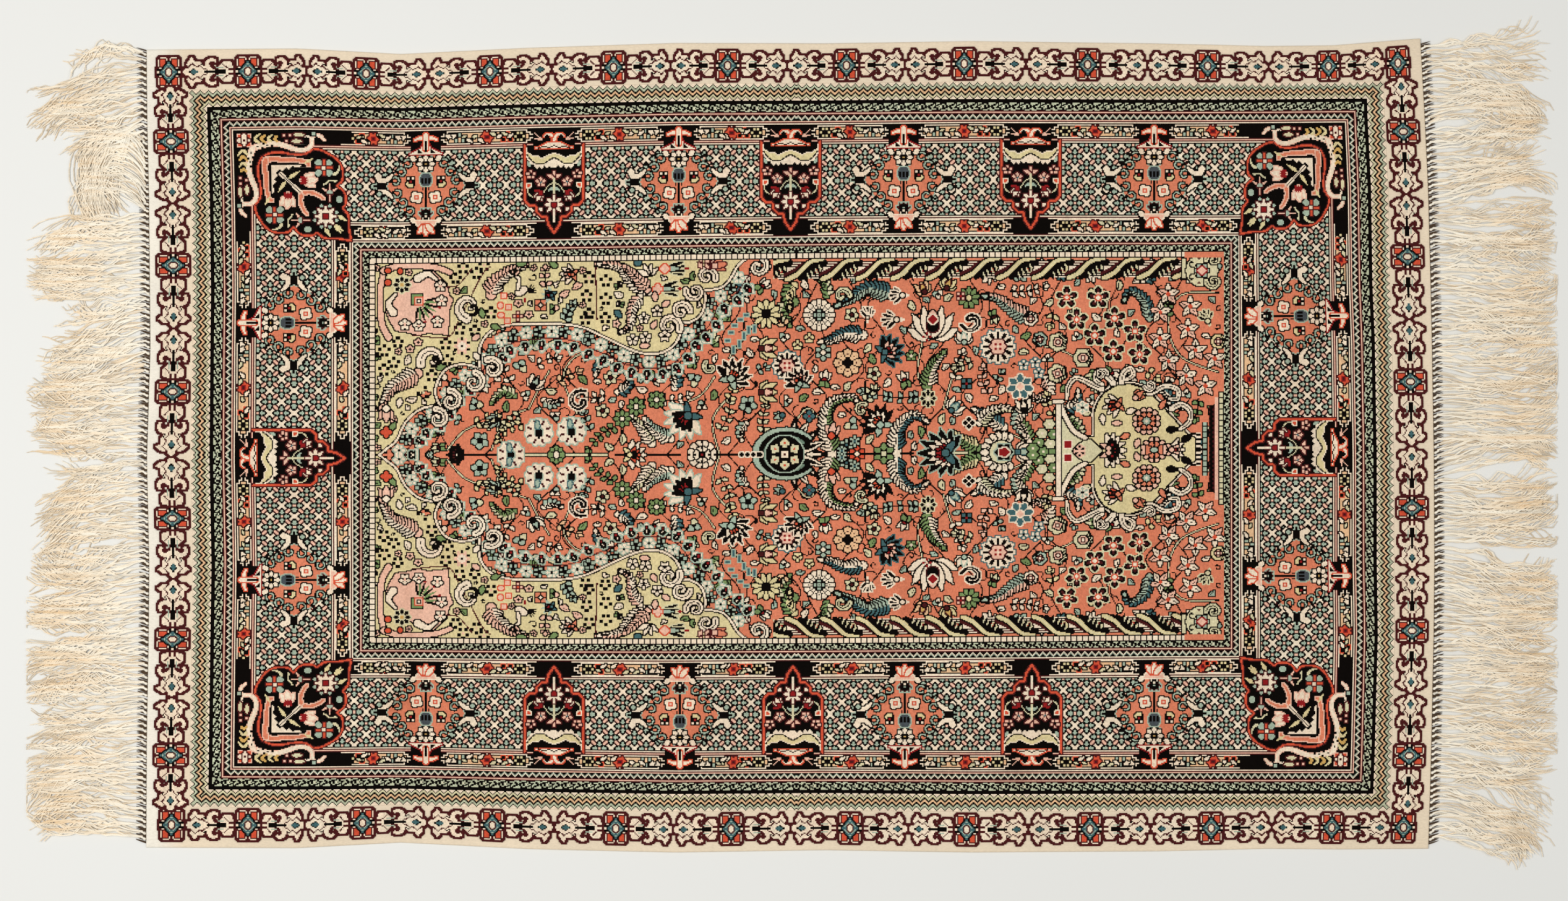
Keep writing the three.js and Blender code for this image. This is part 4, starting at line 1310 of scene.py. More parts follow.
# Vase at the foot of the field
def fieldVase(chart):
    body = [
        (241, 11), (256, 12), (256, 32), (259, 42), (264.5, 50), (274, 56.5), (286, 57.8), (298, 54),
        (307, 46),
    ]
    body += [(317, 34), (329, 20.5), (336.5, 12), (342, 10), (342, -6), (233, -6), (233.5, 6)]
    for grow, colour in ((3.6, "black"), (2.6, "ivory"), (1.5, "black")):
        chart.trace(curve(body[:13], 3), grow, None, colour)
        chart.fill(body, colour)
    chart.fill(body, "lime", "black")
    chart.fill([(236, -6), (238, 7), (246, 12), (254, 9), (262, 0), (262, -6)], "celery", "black")
    for x, y, size in ((300.5, 25.5, 11.5), (307, -0.5, 11.5)):
        for ring, count, colour in ((size * 0.84, 12, "pink"), (size * 0.5, 8, "salmon")):
            for k in range(count):
                angle = 2 * math.pi * (k + 0.5) / count
                chart.draw(
                    x + ring * math.cos(angle), y + ring * math.sin(angle), block(-1.8, 1.8, 1.7), 5,
                    colour, "black", math.degrees(angle),
                )
        chart.draw(x, y, disc(3), 5, "mint", "black")
        chart.draw(x, y, disc(1), 5, "ivory")
    carnation(chart, 276, 40, 13, 190, "ivory", "orange", "wine", "salmon", "black", 5)
    carnation(chart, 268, 2, 15, 20, "ivory", "black", "red", "pink", "black", 7)
    carnation(chart, 322, 0, 12, 0, "ivory", "pink", "red", "pink", "black", 5)
    tulip(chart, 291, 46, 9, 40, "salmon", "pink")
    flower(chart, 243, 1, 4.6, "black", "pink", "pink", 5)
    for x, y, turn, colour in (
        (279, 24, 180, "pink"), (286, 14, 200, "salmon"), (318, 17, 10, "black"), (312, 36, 60, "salmon"),
        (262, 32, -80, "ivory"),
        (294, 10, 250, "pink"), (331, 8, 30, "black"), (283, 33, 20, "ivory"),
    ):
        chart.draw(x, y, leafShape(9, 2.2), 11, colour, "black", turn)
    # the upright with its flared bracket, and the bracket's volutes
    bracket = curve([(226, 42), (231, 30), (238, 18), (248, 11.5)])
    chart.fill([(226, 42)] + bracket + [(240, 6), (232, -5), (226, -5)], "celery", "black")
    chart.draw(233, 6, petals(4, 4.4, 0.3), 6, "red", "ivory", 45)
    chart.trace(bracket, 1.8, None, "ivory", "black")
    chart.trace([(225, 43), (225, -4)], 2.4, None, "ivory", "black")
    chart.trace([(221.5, 43.5), (228, 43.5)], 1.6, None, "ivory", "black")
    for points in (
        [(262, 54), (254, 58), (240, 64), (233, 56), (232, 46)],
        [(272, 59), (268, 64), (259, 70), (257, 62), (263, 58)],
        [(279, 60), (281, 68), (287, 72), (289, 66), (283, 62)],
        [(300, 55), (304, 50), (316, 56), (327, 53), (327, 45), (320, 45)],
        [(322, 36), (330, 40), (338, 34), (337, 24), (329, 18)],
    ):
        path = curve(points)
        chart.trace(path, 2.4, 1.4, "ivory", "black")
        chart.trace(path[2:-2], 0.4, None, "black")
    volute(chart, 303.5, 57, 5, 200, False)
    volute(chart, 262, 67, 5, 0, False)
    flower(chart, 245.5, 38, 5, "mint", "black", "ivory", 6)
    # rows at the foot: comb, mint cells, dark saw, pink band and cells
    for x in range(343, 367):
        for y in range(0, 60):
            cell = None
            if x < 347 and y < 15:
                cell = "black" if (y // 2) % 2 == 0 else "ivory"
            elif 348 <= x < 353 and y < 24:
                cell = "black" if x in (348, 352) or y % 5 == 0 else "mint"
            elif 354 <= x < 359 and y < 38:
                cell = "black" if abs(x - 356 + (y % 4 > 1)) < 1.5 else "wine"
            elif 359 <= x < 362 and y < 46:
                cell = "pink"
            elif 362 <= x and y < 51:
                cell = "black" if x in (362, 366) or y % 5 == 0 else "celery" if x < 366 else "mint"
            if cell:
                chart.cells[y, x + int(chart.middleX)] = yarn[cell]


def daisy(chart, x, y, size, petal="ivory", dot="black", heart="mint", count=16, edge="black"):
    flower(chart, x, y, size, petal, heart, edge, count, 0, 0.1, dot)
    squareFlower(chart, x, y, size * 0.24, heart, "black", edge, 4, 0)


def whiteRosette(chart, x, y, size=12.5):
    flower(chart, x, y, size, "ivory", "black", "mint", 11, 90, 0.14, None, None, False)
    chart.draw(x, y, spokes(8, size * 0.5, size * 0.86, 0.9), size, "wine", None, 22)
    chart.draw(x, y - 2.5, block(-3.4, 3.4, 1.4), 6, "black")
    chart.draw(x, y - 2.5, block(-3.4, 3.4, 1.4), 6, "black", None, 90)
    chart.draw(x - 1, y + 3, leafShape(7, 1.8), 8, "mint", "teal", 95)


def sunflower(chart, x, y, size=16):
    flower(chart, x, y, size, "ivory", "pink", "teal", 12, 0, 0.16, None, None, False)
    chart.draw(x, y, spokes(12, size * 0.4, size * 0.84, 1.4), size, "black", None, 0)
    chart.draw(x, y, petals(6, size * 0.46, 0.2), size, "pink", "wine")
    squareFlower(chart, x, y, size * 0.2, "red", "ivory", None, 4, 45)


def lily(chart, x, y, size, turn, petal="lime", heart="pink", mark="wine"):
    for lean, share in ((62, 0.75), (-62, 0.75), (30, 1.0), (-30, 1.0), (0, 0.9)):
        chart.draw(
            x, y, leafShape(size * share, size * 0.19, 0, 0.8 * (lean > 0) - 0.8 * (lean < 0)), size + 2,
            petal, "black", turn + lean,
        )
    chart.draw(x, y, leafShape(size * 0.66, size * 0.17), size, heart, mark, turn)
    chart.draw(x, y, disc(size * 0.16), size, mark, "black")


def rose(chart, x, y, size, turn, petal="celery"):
    chart.draw(x, y, petals(6, size, 0.14), size + 2, petal, "black", turn)
    chart.draw(
        x, y, lambda u, v: (np.hypot(u, v) < size) & (u > size * 0.3) & ((u * 1.7 + v) % 4 < 2.4), size,
        "black", None, turn,
    )
    chart.draw(x, y, petals(4, size * 0.48, 0.2), size, "pink", "black", turn)
    chart.draw(x, y, disc(1.2), 3, "ivory", "wine")


def spikes(chart, x, y, size, turn, dark="black", foot="ivory"):
    for k in range(5):
        lean = (k - 2) * 22
        chart.draw(
            x, y, leafShape(size * (1 - 0.004 * abs(lean)), size * 0.12, size * 0.15), size + 3, dark,
            foot, turn + lean,
        )
    chart.draw(x, y, leafShape(size * 0.6, size * 0.16), size, foot, None, turn + 180)
    chart.draw(x, y, disc(size * 0.16), size, foot, "black")


def squareRing(chart, x, y, size):
    for ring, count, half in ((size * 0.82, 12, 2.4), (size * 0.42, 8, 1.7)):
        for k in range(count):
            angle = 2 * math.pi * (k + 0.5) / count
            spot = (x + ring * math.cos(angle), y + ring * math.sin(angle))
            chart.draw(*spot, block(-half, half, half * 0.9), 6, "ivory", "black", math.degrees(angle))
    chart.draw(x, y, block(-1.2, 1.2, 1.2), 3, "red", "black")


def lobedPalmette(chart, x, y, size):
    for k in range(13):
        angle = math.radians(60 + 20 * k)
        spot = (x + size * 0.8 * math.cos(angle), y + size * 0.8 * math.sin(angle))
        chart.draw(*spot, oval(3.4, 2.6), 6, "ivory", "black", math.degrees(angle))
        chart.draw(*spot, block(-4, -1, 0.4), 6, "black", None, math.degrees(angle))
    chart.draw(x, y, disc(size * 0.56), size, "celery", "black")
    chart.draw(x + 2, y, petals(6, size * 0.46, 0.25), size, "black", "mint")
    chart.draw(x + 2, y, petals(5, size * 0.26, 0.25), size, "red", "ivory")


def leafRing(chart, x, y, size):
    for k in range(9):
        chart.draw(
            x + 4, y, leafShape(size * 1.05, size * 0.13, 4), size + 6, "ivory" if k % 2 else "black",
            "black", -80 + 20 * k,
        )
        chart.draw(
            x + 4, y, leafShape(size * 0.7, size * 0.06, 10), size + 6, "black" if k % 2 else "ivory",
            None, -80 + 20 * k,
        )
    for reach, wide, colour in (
        (size * 0.98, 3.4, "mint"), (size * 0.8, 2.2, "black"), (size * 0.7, 1.6, "jade"),
    ):
        for way in (-1, 1):
            arc = [
                (x + 2 + reach * math.cos(a), y + way * reach * 0.82 * math.sin(a))
                for a in np.linspace(0.7, math.pi, 12)
            ]
            chart.trace(arc, 1.0, wide, colour, "black")
    chart.draw(x, y, disc(size * 0.6), size, "black", "mint")
    for k in range(6):
        angle = math.radians(60 * k + 30)
        spot = (x + size * 0.36 * math.cos(angle), y + size * 0.36 * math.sin(angle))
        chart.draw(*spot, petals(4, 4.2, 0.25), 7, "celery", "black", 60 * k + 30)
        chart.draw(*spot, disc(1.1), 3, "orange")
    chart.draw(x, y, petals(4, 4.4, 0.3), 7, "ivory", "black", 45)
    chart.draw(x, y, disc(1.3), 3, "wine")
    chart.draw(x - size * 0.9, y, oval(5, 2.4), 8, "black", "ivory")
    for k in range(3):
        chart.draw(x - size - 5 * k, y, disc(1.7), 4, "black", "ivory")


def hexes(chart, x, y, size):
    for u, v in ((0, 0), (-4, 8), (6, 7), (-1, 16), (9, 15), (-9, 3), (8, -2), (5, 24)):
        chart.draw(
            x + u, y + v, petals(6, size, 0.1), size + 2, "celery" if (u + v) % 2 else "green", "black",
        )
        chart.draw(x + u, y + v, disc(1.4), 3, "ivory", None)


def checks(chart, x, y, size):
    for i in range(3):
        for j in range(3):
            spot = ((i - 1) * 2 * size, (j - 1) * 2 * size)
            c = math.sqrt(0.5)
            colour = "black" if (i + j) % 2 else "ivory"
            place = (x + c * (spot[0] - spot[1]), y + c * (spot[0] + spot[1]))
            chart.draw(*place, block(-size, size, size), 4, colour, None, 45)
    chart.draw(x, y, block(-0.9, 0.9, 0.9), 3, "black")


# What grows on the salmon ground: rows of kind, place, size, turn and, for some, yarns
grounds = [
    (daisy, -9.5, 160, 9, "mint", "black", "orange", 12),
    (daisy, 19.5, 120.5, 13.6),
    (daisy, 44, 79, 11.6, "tan", "wine", "black", 8),
    (squareRing, -81, 0, 12),
    (whiteRosette, -221, 20),
    (whiteRosette, -193, 21),
    (whiteRosette, -245, 0),
    (sunflower, 173, 92, 15.5),
    (sunflower, -8, 77, 13),
    (carnation, -56, 66, 19, 60, "black", "ivory", "orange", "mint"),
    (carnation, -93, 34, 22, 225, "ivory", "black", "red", "teal", "mint"),
    (carnation, 76, 88, 17, 20, "black", "pink", "red", "teal", "teal"),
    (carnation, 3, 61, 15, 110, "black", "pink", "orange", "mint"),
    (carnation, 128, 0, 25, 180, "black", "ivory", "red", "teal", "mint", 11),
    (carnation, 72, 25, 20, 128, "black", "ivory", "orange", "mint", None),
    (carnation, -289, 0, 10, 180, "black", "wine", "ivory", "black", "black"),
    (lobedPalmette, 176, 0, 18),
    (leafRing, -10, 0, 27),
    (carnation, -143, 0, 15, 0, "ivory", "orange", "black", "lime", "black"),
    (lily, 190, 0, 14, 0, "ivory", "mint", "teal"),
    (spikes, 91, 137, 11, 180),
    (spikes, 86, 116, 12.5, 180),
    (spikes, 61, 118, 9, 90),
    (spikes, 353, 113, 10, 110, "black", "celery"),
    (lily, -30, 92, 15, 0),
    (lily, -30, 54, 15, 0),
    (lily, 144, 96, 12, 92, "ivory", "ivory", "mint"),
    (lily, 110, 140, 11, 115, "tan", "gold", "wine"),
    (lily, 129, 143, 11, 70, "lime", "gold", "wine"),
    (lily, 133, 37, 13, 45, "ivory", "mint", "teal"),
    (lily, 196, 36, 12, 100, "ivory", "ivory", "black"),
    (lily, -226, 60, 12, 60, "ivory", "mint", "black"),
    (lily, -257, 31, 9, 200, "mint", "celery", "black"),
    (rose, 224.5, 95.5, 8.2, 20),
    (rose, 246, 81.5, 8.4, 0),
    (rose, 224, 68, 8.2, -20),
    (rose, 238, 118, 6.5, 130, "celery"),
    (rose, 209, 98, 6, 200, "mint"),
    (rose, 201, 116, 6, 100, "ivory"),
    (rose, 362, 95, 6.5, 0, "lime"),
    (flower, -120, 48, 7.6, "green", "ivory", "black", 8),
    (flower, -137.5, 42, 7.6, "green", "ivory", "black", 8),
    (flower, -149.5, 31.5, 7.6, "green", "ivory", "black", 8),
    (flower, 113, 47.5, 7.2, "black", "ivory", "celery", 8),
    (flower, -206, 1, 7.4, "green", "ivory", "black", 8),
    (flower, 75, 0, 9, "green", "celery", "black", 6),
    (flower, 52, 0, 7, "orange", "ivory", "black", 6),
    (flower, 11, 33, 5, "teal", "red", "black", 4),
    (flower, 23, 88, 7, "mint", "ivory", "black", 6),
    (flower, 11, 100.5, 4.2, "lime", "wine", "black", 5),
    (flower, 1, 94.5, 4.2, "lime", "wine", "black", 5),
    (flower, 98.5, 84.5, 4.6, "green", "ivory", "black", 5),
    (flower, 195, 76, 4.4, "ivory", "black", "teal", 5),
    (flower, 205, 78, 4.4, "ivory", "black", "teal", 5),
    (flower, 208, 69, 4.4, "ivory", "black", "teal", 5),
    (hexes, 212, 0, 4.6),
    (checks, 148, 25, 1.6),
    (flower, 192, 57, 11, "teal", "pink", "ivory", 7),
    (flower, 148, 134.5, 9.5, "green", "lime", "black", 9),
    (flower, -26, 122, 12.6, "lime", "black", "black", 11),
    (flower, 43, 8, 5.4, "mint", "teal", "black", 6),
    (flower, 50, 11, 5, "mint", "teal", "black", 6),
    (flower, 39, 3, 4.4, "mint", "teal", "black", 6),
    (flower, 148, 26, 5, "black", "ivory", "ivory", 4),
    (squareFlower, 141, 136, 2.6, "pink", "red", "wine", 4, 45),
    (squareFlower, 146, 60, 4.0, "teal", "red", "black", 4, 45),
    (tulip, 30, 16, 12, 80, "pink", "orange"),
    (tulip, -12, 34, 8, 200, "mint", "teal"),
    (tulip, 253, 140, 8, -30, "mint", "lime"),
]
wineFlowers = [
    (232, 134.5), (259, 134), (240.5, 115), (273, 116), (290.5, 104.5), (256, 101), (272, 87), (294.5, 84),
]
starFlowers = [
    (319, 137), (312.5, 121), (338, 126), (312, 98), (336, 106), (342.5, 87.5), (319.5, 78), (359, 80),
    (334.5, 65), (351, 56),
]
sprigs = [
    # x, y, length, turn, leaf, bend
    (118, 50, 62, 176, "mint", 4), (-118, 48, 26, 10, "ivory", -3), (-163, 52, 24, 176, "ivory", 3),
    (-154, 26, 32, 222, "green", -3), (-28, 18, 24, 85, "celery", 2), (-66, 20, 28, 72, "celery", -3),
    (-58, 46, 16, 60, "lime", 2), (165, 50, 24, 100, "pink", 3), (183, 140, 30, 8, "ivory", -2),
    (-236, 36, 30, 200, "celery", 4), (-234, 28, 26, 215, "lime", -4), (-278, 26, 22, 20, "lime", 2),
    (101, 104, 18, 60, "ivory", 2), (136, 62, 26, 75, "ivory", 2), (-244, 62, 22, 110, "ivory", 2),
    (-224, 78, 20, 20, "ivory", 2), (-206, 62, 22, 30, "tan", 2), (-176, 20, 18, 110, "mint", 1),
    (222, 30, 20, 110, "lime", 2), (318, 116, 14, 80, "green", 1), (345, 45, 18, -100, "green", 1),
    (-8, 110, 18, 120, "tan", 2), (152, 80, 16, 200, "celery", 1), (60, 44, 14, 60, "celery", 2),
]
feathers = [
    # points, half width, light, dark
    ([(81, 138), (62, 143), (46, 134), (34, 128)], 7.5, "mint", "teal"),
    ([(57, 103), (42, 104), (30, 99), (20, 97)], 6.5, "ivory", "teal"),
    ([(31, 2), (25, 26), (30, 44), (48, 49), (54, 42)], 7.5, "ivory", "green"),
    ([(86, 3), (87, 20), (100, 33), (113, 27)], 7, "ivory", "teal"),
    ([(112, 58), (116, 74), (127, 88)], 6.5, "green", "ivory"),
    ([(200, 116), (186, 124), (172, 134), (160, 136)], 6.5, "mint", "pink"),
    ([(-2, 132), (-12, 126), (-6, 112)], 6.5, "green", "celery"),
    ([(-2, 146), (-8, 138), (-6, 128)], 6, "lime", "green"),
    ([(-124, 10), (-131, 22), (-142, 34)], 6, "ivory", "celery"),
    ([(178, 22), (166, 30), (152, 38)], 6, "ivory", "teal"),
    ([(156, 4), (146, 9), (133, 18)], 6, "green", "lime"),
    ([(-108, 14), (-120, 20), (-131, 32)], 5.5, "ivory", "mint"),
    ([(157, 26), (166, 35), (180, 38), (190, 34)], 5, "ivory", "celery"),
    ([(200, 10), (196, 22), (186, 33)], 4.6, "ivory", "green"),
    ([(303, 116), (299, 132), (286, 140), (281, 130)], 5, "mint", "teal"),
    ([(-242, 52), (-252, 56), (-262, 45)], 4.5, "green", "celery"),
    ([(196, 40), (188, 26), (196, 14)], 5, "ivory", "mint"),
    ([(214, 64), (217, 52), (206, 46), (200, 52)], 4.6, "ivory", "pink"),
]


def vine(chart, points, wide=1.3):
    chart.trace(curve(points), wide, wide, "black")
    chart.trace(curve(points), wide - 0.85, wide - 0.85, "celery")


def leafCluster(chart, spots, long, wide, colour, edge, turn):
    for x, y in spots:
        chart.draw(x, y, block(-long, long, wide), long + 2, colour, edge, turn)


def fieldGrounds(chart):
    for points in (
        [(113, 48), (104, 70), (108, 96)], [(-188, 36), (-200, 66), (-192, 84), (-176, 92)],
        [(-66, 0), (-72, 30), (-58, 50)],
        [(-70, 68), (-82, 52), (-100, 44)], [(126, 38), (132, 60), (141, 84)],
        [(268, 139), (268, 120), (284, 104), (300, 90)],
        [(362, 68), (330, 82), (319, 110), (330, 136), (362, 138)], [(-230, 40), (-222, 56), (-212, 74)],
        [(-58, 84), (-46, 100), (-38, 112)], [(0, 30), (10, 40), (20, 30)], [(150, 24), (170, 22), (200, 8)],
        [(213, 92), (228, 88), (240, 82)],
        [(20, 0), (60, 0)], [(60, 0), (100, 0)], [(200, 0), (232, 0)], [(-155, 0), (-100, 0)],
        [(-70, 0), (-40, 0)],
        [(-300, 0), (-255, 0)], [(-300, 4), (-284, 22), (-262, 30)], [(-262, 4), (-250, 30), (-232, 40)],
    ):
        vine(chart, points)
    for low, high in ((-232, -214), (-198, -163), (128, 160)):
        chart.trace([(low, 0), (high, 0)], 2.0, 2.0, "black")
        chart.trace([(low, 0), (high, 0)], 0.9, 0.9, "celery")
    for points, wide, light, dark in feathers:
        featherLeaf(chart, points, wide, light, dark)
    for x, y, length, turn, leaf, bend in sprigs:
        sprig(chart, x, y, length, turn, leaf, "black", max(3, int(length / 6)), bend)
    for kind, x, y, *rest in grounds:
        kind(chart, x, y, *rest)
    for x, y in wineFlowers:
        for k in range(5):
            turn = 90 + 72 * k
            chart.draw(x, y, oval(3.6, 2.9, 6), 12, "black", "celery", turn)
            chart.draw(x, y, oval(2.1, 1.3, 5.6), 10, "wine", None, turn)
            chart.draw(x, y, block(0, 4.6, 0.7), 10, "pink", None, turn)
        chart.draw(x, y, disc(1.6), 4, "ivory", "orange")
    for x, y in starFlowers:
        for k in range(5):
            petal = "pink" if k % 2 else "ivory"
            chart.draw(x, y, leafShape(9.6, 2.5), 12, petal, "black", 90 + 72 * k)
            chart.draw(x, y, block(4, 7, 0.4), 10, "black", None, 90 + 72 * k)
        chart.draw(x, y, disc(1.7), 4, "orange")
    # the big ivory palmette
    for lean, share in ((70, 0.8), (-70, 0.8), (40, 0.95), (-40, 0.95), (16, 1.0), (-16, 1.0)):
        chart.draw(
            117, 100, leafShape(29 * share, 4.4, 0, 1.5 if lean > 0 else -1.5), 34, "ivory", "black",
            90 + lean,
        )
    chart.draw(117, 108, leafShape(17, 5.2), 20, "pink", "black", 90)
    chart.draw(117, 110, disc(5), 8, "black", "wine")
    chart.draw(117, 116, petals(4, 4, 0.3), 8, "red", "ivory")
    squareFlower(chart, 112, 101, 3, "red", "pink", None, 4, 0)
    leafCluster(
        chart, [(-43, 121), (-48, 117), (-53, 112), (-56, 106), (-59, 99)], 2.2, 1.2, "teal", "mint", 0,
    )
    leafCluster(
        chart, [(-54, 91), (-49, 96), (-45, 103), (-41, 108), (-36, 109)], 2.6, 1.2, "teal", "mint", 90,
    )
    for x, y, reach, start in ((39, 137, 7, 0), (56, 38, 6, 60), (-74, 76, 6, 130)):
        volute(chart, x, y, reach, start, False, "celery", 0.9)
    for x, y, reach, start in ((-186, 47, 10, 60), (150, 114, 9, 200)):
        curl = scrollPoints(x, y, reach, 0.8, start, False, 0.35)
        chart.trace(curl, 1.2, 3.0, "black", "ivory")
        chart.trace(curl[2:], 0.3, 0.5, "ivory")


# Leaves, sprays and buds wherever the ground is still empty, each kind in turn
def fillGround(chart, ground, room, kinds, seed, tries=9000):
    chance = np.random.default_rng(seed)
    height, width = chart.cells.shape
    total = np.zeros((height + 1, width + 1), int)
    placed = 0
    stale = True
    for k in range(tries):
        if stale:
            total[1:, 1:] = np.cumsum(np.cumsum(chart.cells != yarn[ground], axis=0), axis=1)
            stale = False
        column = int(chance.integers(room, width - room))
        row = int(chance.integers(0, height - room))
        low = max(0, row - room)
        turn = float(chance.uniform(0, 360))
        left, right, high = column - room, column + room, row + room
        if total[high, right] - total[low, right] - total[high, left] + total[low, left] > 0:
            continue
        x = column + 0.5 - chart.middleX
        y = row + 0.5 - chart.middleY
        kind, *colours = kinds[placed % len(kinds)]
        kind(chart, x, y, room, turn, *colours)
        placed += 1
        stale = True


def strayLeaf(chart, x, y, room, turn, colour="ivory"):
    chart.draw(x, y, leafShape(2 * room - 1, room * 0.5, 0.5 - room, 0.9), room + 2, colour, "black", turn)
    chart.draw(x, y, block(1 - room * 0.7, room * 0.4, 0.35), room, "black", None, turn)


def strayPair(chart, x, y, room, turn, first="mint", second="celery"):
    chart.draw(x, y, leafShape(room, room * 0.4), room + 2, first, "black", turn)
    chart.draw(x, y, leafShape(room, room * 0.4), room + 2, second, "black", turn + 130)
    chart.draw(x, y, leafShape(room * 0.8, room * 0.34), room + 2, first, "black", turn + 245)
    chart.draw(x, y, disc(1.2), 3, "black")


def strayHook(chart, x, y, room, turn):
    chart.draw(x, y, band(scrollPoints(0, 0, room - 1, 0.8, 0, False), 0.6), room + 2, "black", None, turn)


def strayFlower(chart, x, y, room, turn, petal="celery", heart="wine"):
    flower(chart, x, y, room * 0.84, petal, heart, "black", 5, turn)


def strayBud(chart, x, y, room, turn, petal="ivory", tip="red"):
    c, s = math.cos(math.radians(turn)), math.sin(math.radians(turn))
    tulip(chart, x - 0.2 * room * c, y - 0.2 * room * s, room * 1.05, turn, petal, tip)
    for way in (-1, 1):
        chart.draw(
            x - 0.3 * room * c, y - 0.3 * room * s, leafShape(room * 0.7, room * 0.24), room, "green",
            "black", turn + way * 140,
        )


def straySpray(chart, x, y, room, turn, leaf="ivory"):
    c, s = math.cos(math.radians(turn)), math.sin(math.radians(turn))
    sprig(
        chart, x - 0.9 * room * c, y - 0.9 * room * s, room * 1.5, turn, leaf, "black",
        max(2, int(room / 3.4)), 1.5, room * 0.6,
    )


def strayFeather(chart, x, y, room, turn, light="ivory", dark="mint"):
    c, s = math.cos(math.radians(turn)), math.sin(math.radians(turn))
    spots = [(-0.9, -0.1), (-0.3, -0.3), (0.3, -0.1), (0.7, 0.4)]
    points = [(x + room * (c * u - s * v), y + room * (s * u + c * v)) for u, v in spots]
    featherLeaf(chart, points, room * 0.42, light, dark)


# Thin stems behind the flowers, swinging out from the middle line
def fieldTendrils(chart):
    for k in range(27):
        x = -345 + 26 * k
        swing = 13 if k % 2 else -12
        path = [
            (x, 0), (x + swing, 22), (x - swing * 0.6, 48), (x + swing, 74), (x - swing * 0.4, 100),
            (x + swing * 0.8, 126), (x, 150),
        ]
        chart.trace(curve(path, 8), 0.6, 0.6, "black", None, ["salmon"])
        for y, reach in ((36, 7), (62, 8), (88, 7), (114, 8), (138, 7)):
            curl = scrollPoints(x + (9 if k % 2 else -9), y, reach, 0.7, 90 * (k % 4), k % 2 == 0)
            chart.trace(curl, 0.5, 0.5, "black", None, ["salmon"])


def fieldChart(width, height):
    chart = Chart(width, height, None, 0, yarn["salmon"])
    fieldGrounds(chart)
    fillGround(
        chart, "salmon", 11,
        [(strayFeather, "ivory", "teal"), (straySpray, "ivory"), (strayFeather, "green", "celery")], 3,
    )
    fillGround(
        chart, "salmon", 9,
        [(straySpray, "lime"), (strayBud, "ivory", "red"), (strayFlower, "mint", "black"), (strayFeather,)],
        4,
    )
    fillGround(
        chart, "salmon", 7,
        [(strayPair,), (strayBud, "celery", "wine"), (strayFlower,), (straySpray, "mint")], 5,
    )
    fillGround(
        chart, "salmon", 5,
        [(strayLeaf, "ivory"), (strayPair, "ivory", "mint"), (strayLeaf, "green"), (strayLeaf, "celery")],
        6,
    )
    fillGround(chart, "salmon", 4, [(strayLeaf, "ivory"), (strayHook,), (strayLeaf, "mint")], 7)
    fieldTendrils(chart)
    fieldNiche(chart)
    fieldSpandrel(chart)
    fillGround(
        chart, "lime", 7,
        [(strayPair, "pink", "ivory"), (straySpray, "ivory"), (strayBud, "pink", "red")], 8,
    )
    fillGround(
        chart, "lime", 5,
        [(strayLeaf, "ivory"), (strayPair, "green", "pink"), (strayLeaf, "pink"), (strayHook,)], 9,
    )
    fillGround(
        chart, "lime", 4,
        [(strayFlower, "pink", "black"), (strayLeaf, "green"), (strayBud, "ivory", "wine")], 10,
    )
    fillGround(chart, "lime", 3, [(strayFlower, "pink", "black"), (strayLeaf, "ivory"), (strayHook,)], 11)
    fieldColumn(chart)
    fieldVase(chart)
    return chart


fieldLeft = 190
fieldHigh = 169
squaresWide = 6
whole = borderChart()
# the row of squares stops at the foot of the field, where the salmon ground runs on to the guard
field = fieldChart(2 * (halfLong - fieldLeft) + 2 * squaresWide, fieldHigh)
for half in (whole[halfLow:], whole[:halfLow][::-1]):
    half[:fieldHigh, fieldLeft:-fieldLeft + squaresWide] = field.cells[:, squaresWide:]
    half[fieldHigh:fieldHigh + squaresWide - 1, -fieldLeft - 28:-fieldLeft + squaresWide] = yarn["salmon"]
print("rug: chart of", whole.shape[1], "by", whole.shape[0], "knots")


# Gathers a chart's knots into patches of one yarn, none longer than the cap, so that each becomes one small
# face
def patches(cells, cap=20):
    height, width = cells.shape
    done = []
    standing = {}
    for row in range(height):
        line = cells[row]
        starts = np.flatnonzero(np.concatenate([[True], line[1:] != line[:-1]]))
        ends = np.append(starts[1:], width)
        now = {}
        for start, end in zip(starts.tolist(), ends.tolist()):
            colour = int(line[start])
            if colour == bare:
                continue
            for low in range(start, end, cap):
                key = (low, min(low + cap, end), colour)
                since = standing.pop(key, None)
                if since is not None and row - since >= cap:
                    done.append((key[0], key[1], since, row, colour))
                    since = None
                now[key] = row if since is None else since
        done += [(low, high, since, row, colour) for (low, high, colour), since in standing.items()]
        standing = now
    done += [(low, high, since, height, colour) for (low, high, colour), since in standing.items()]
    return np.array(done, int)


acrossCount = 2 * halfLow
alongCount = 2 * halfLong
gridX, gridY = np.meshgrid(
    np.linspace(-weave["halfLength"], weave["halfLength"], alongCount + 1),
    np.linspace(-weave["halfWidth"], weave["halfWidth"], acrossCount + 1),
)
placeX, placeY = woven(gridX, gridY)
placeX = placeX + shiftX
placeY = placeY + shiftY
placeSwell = swellAt(placeX, placeY)


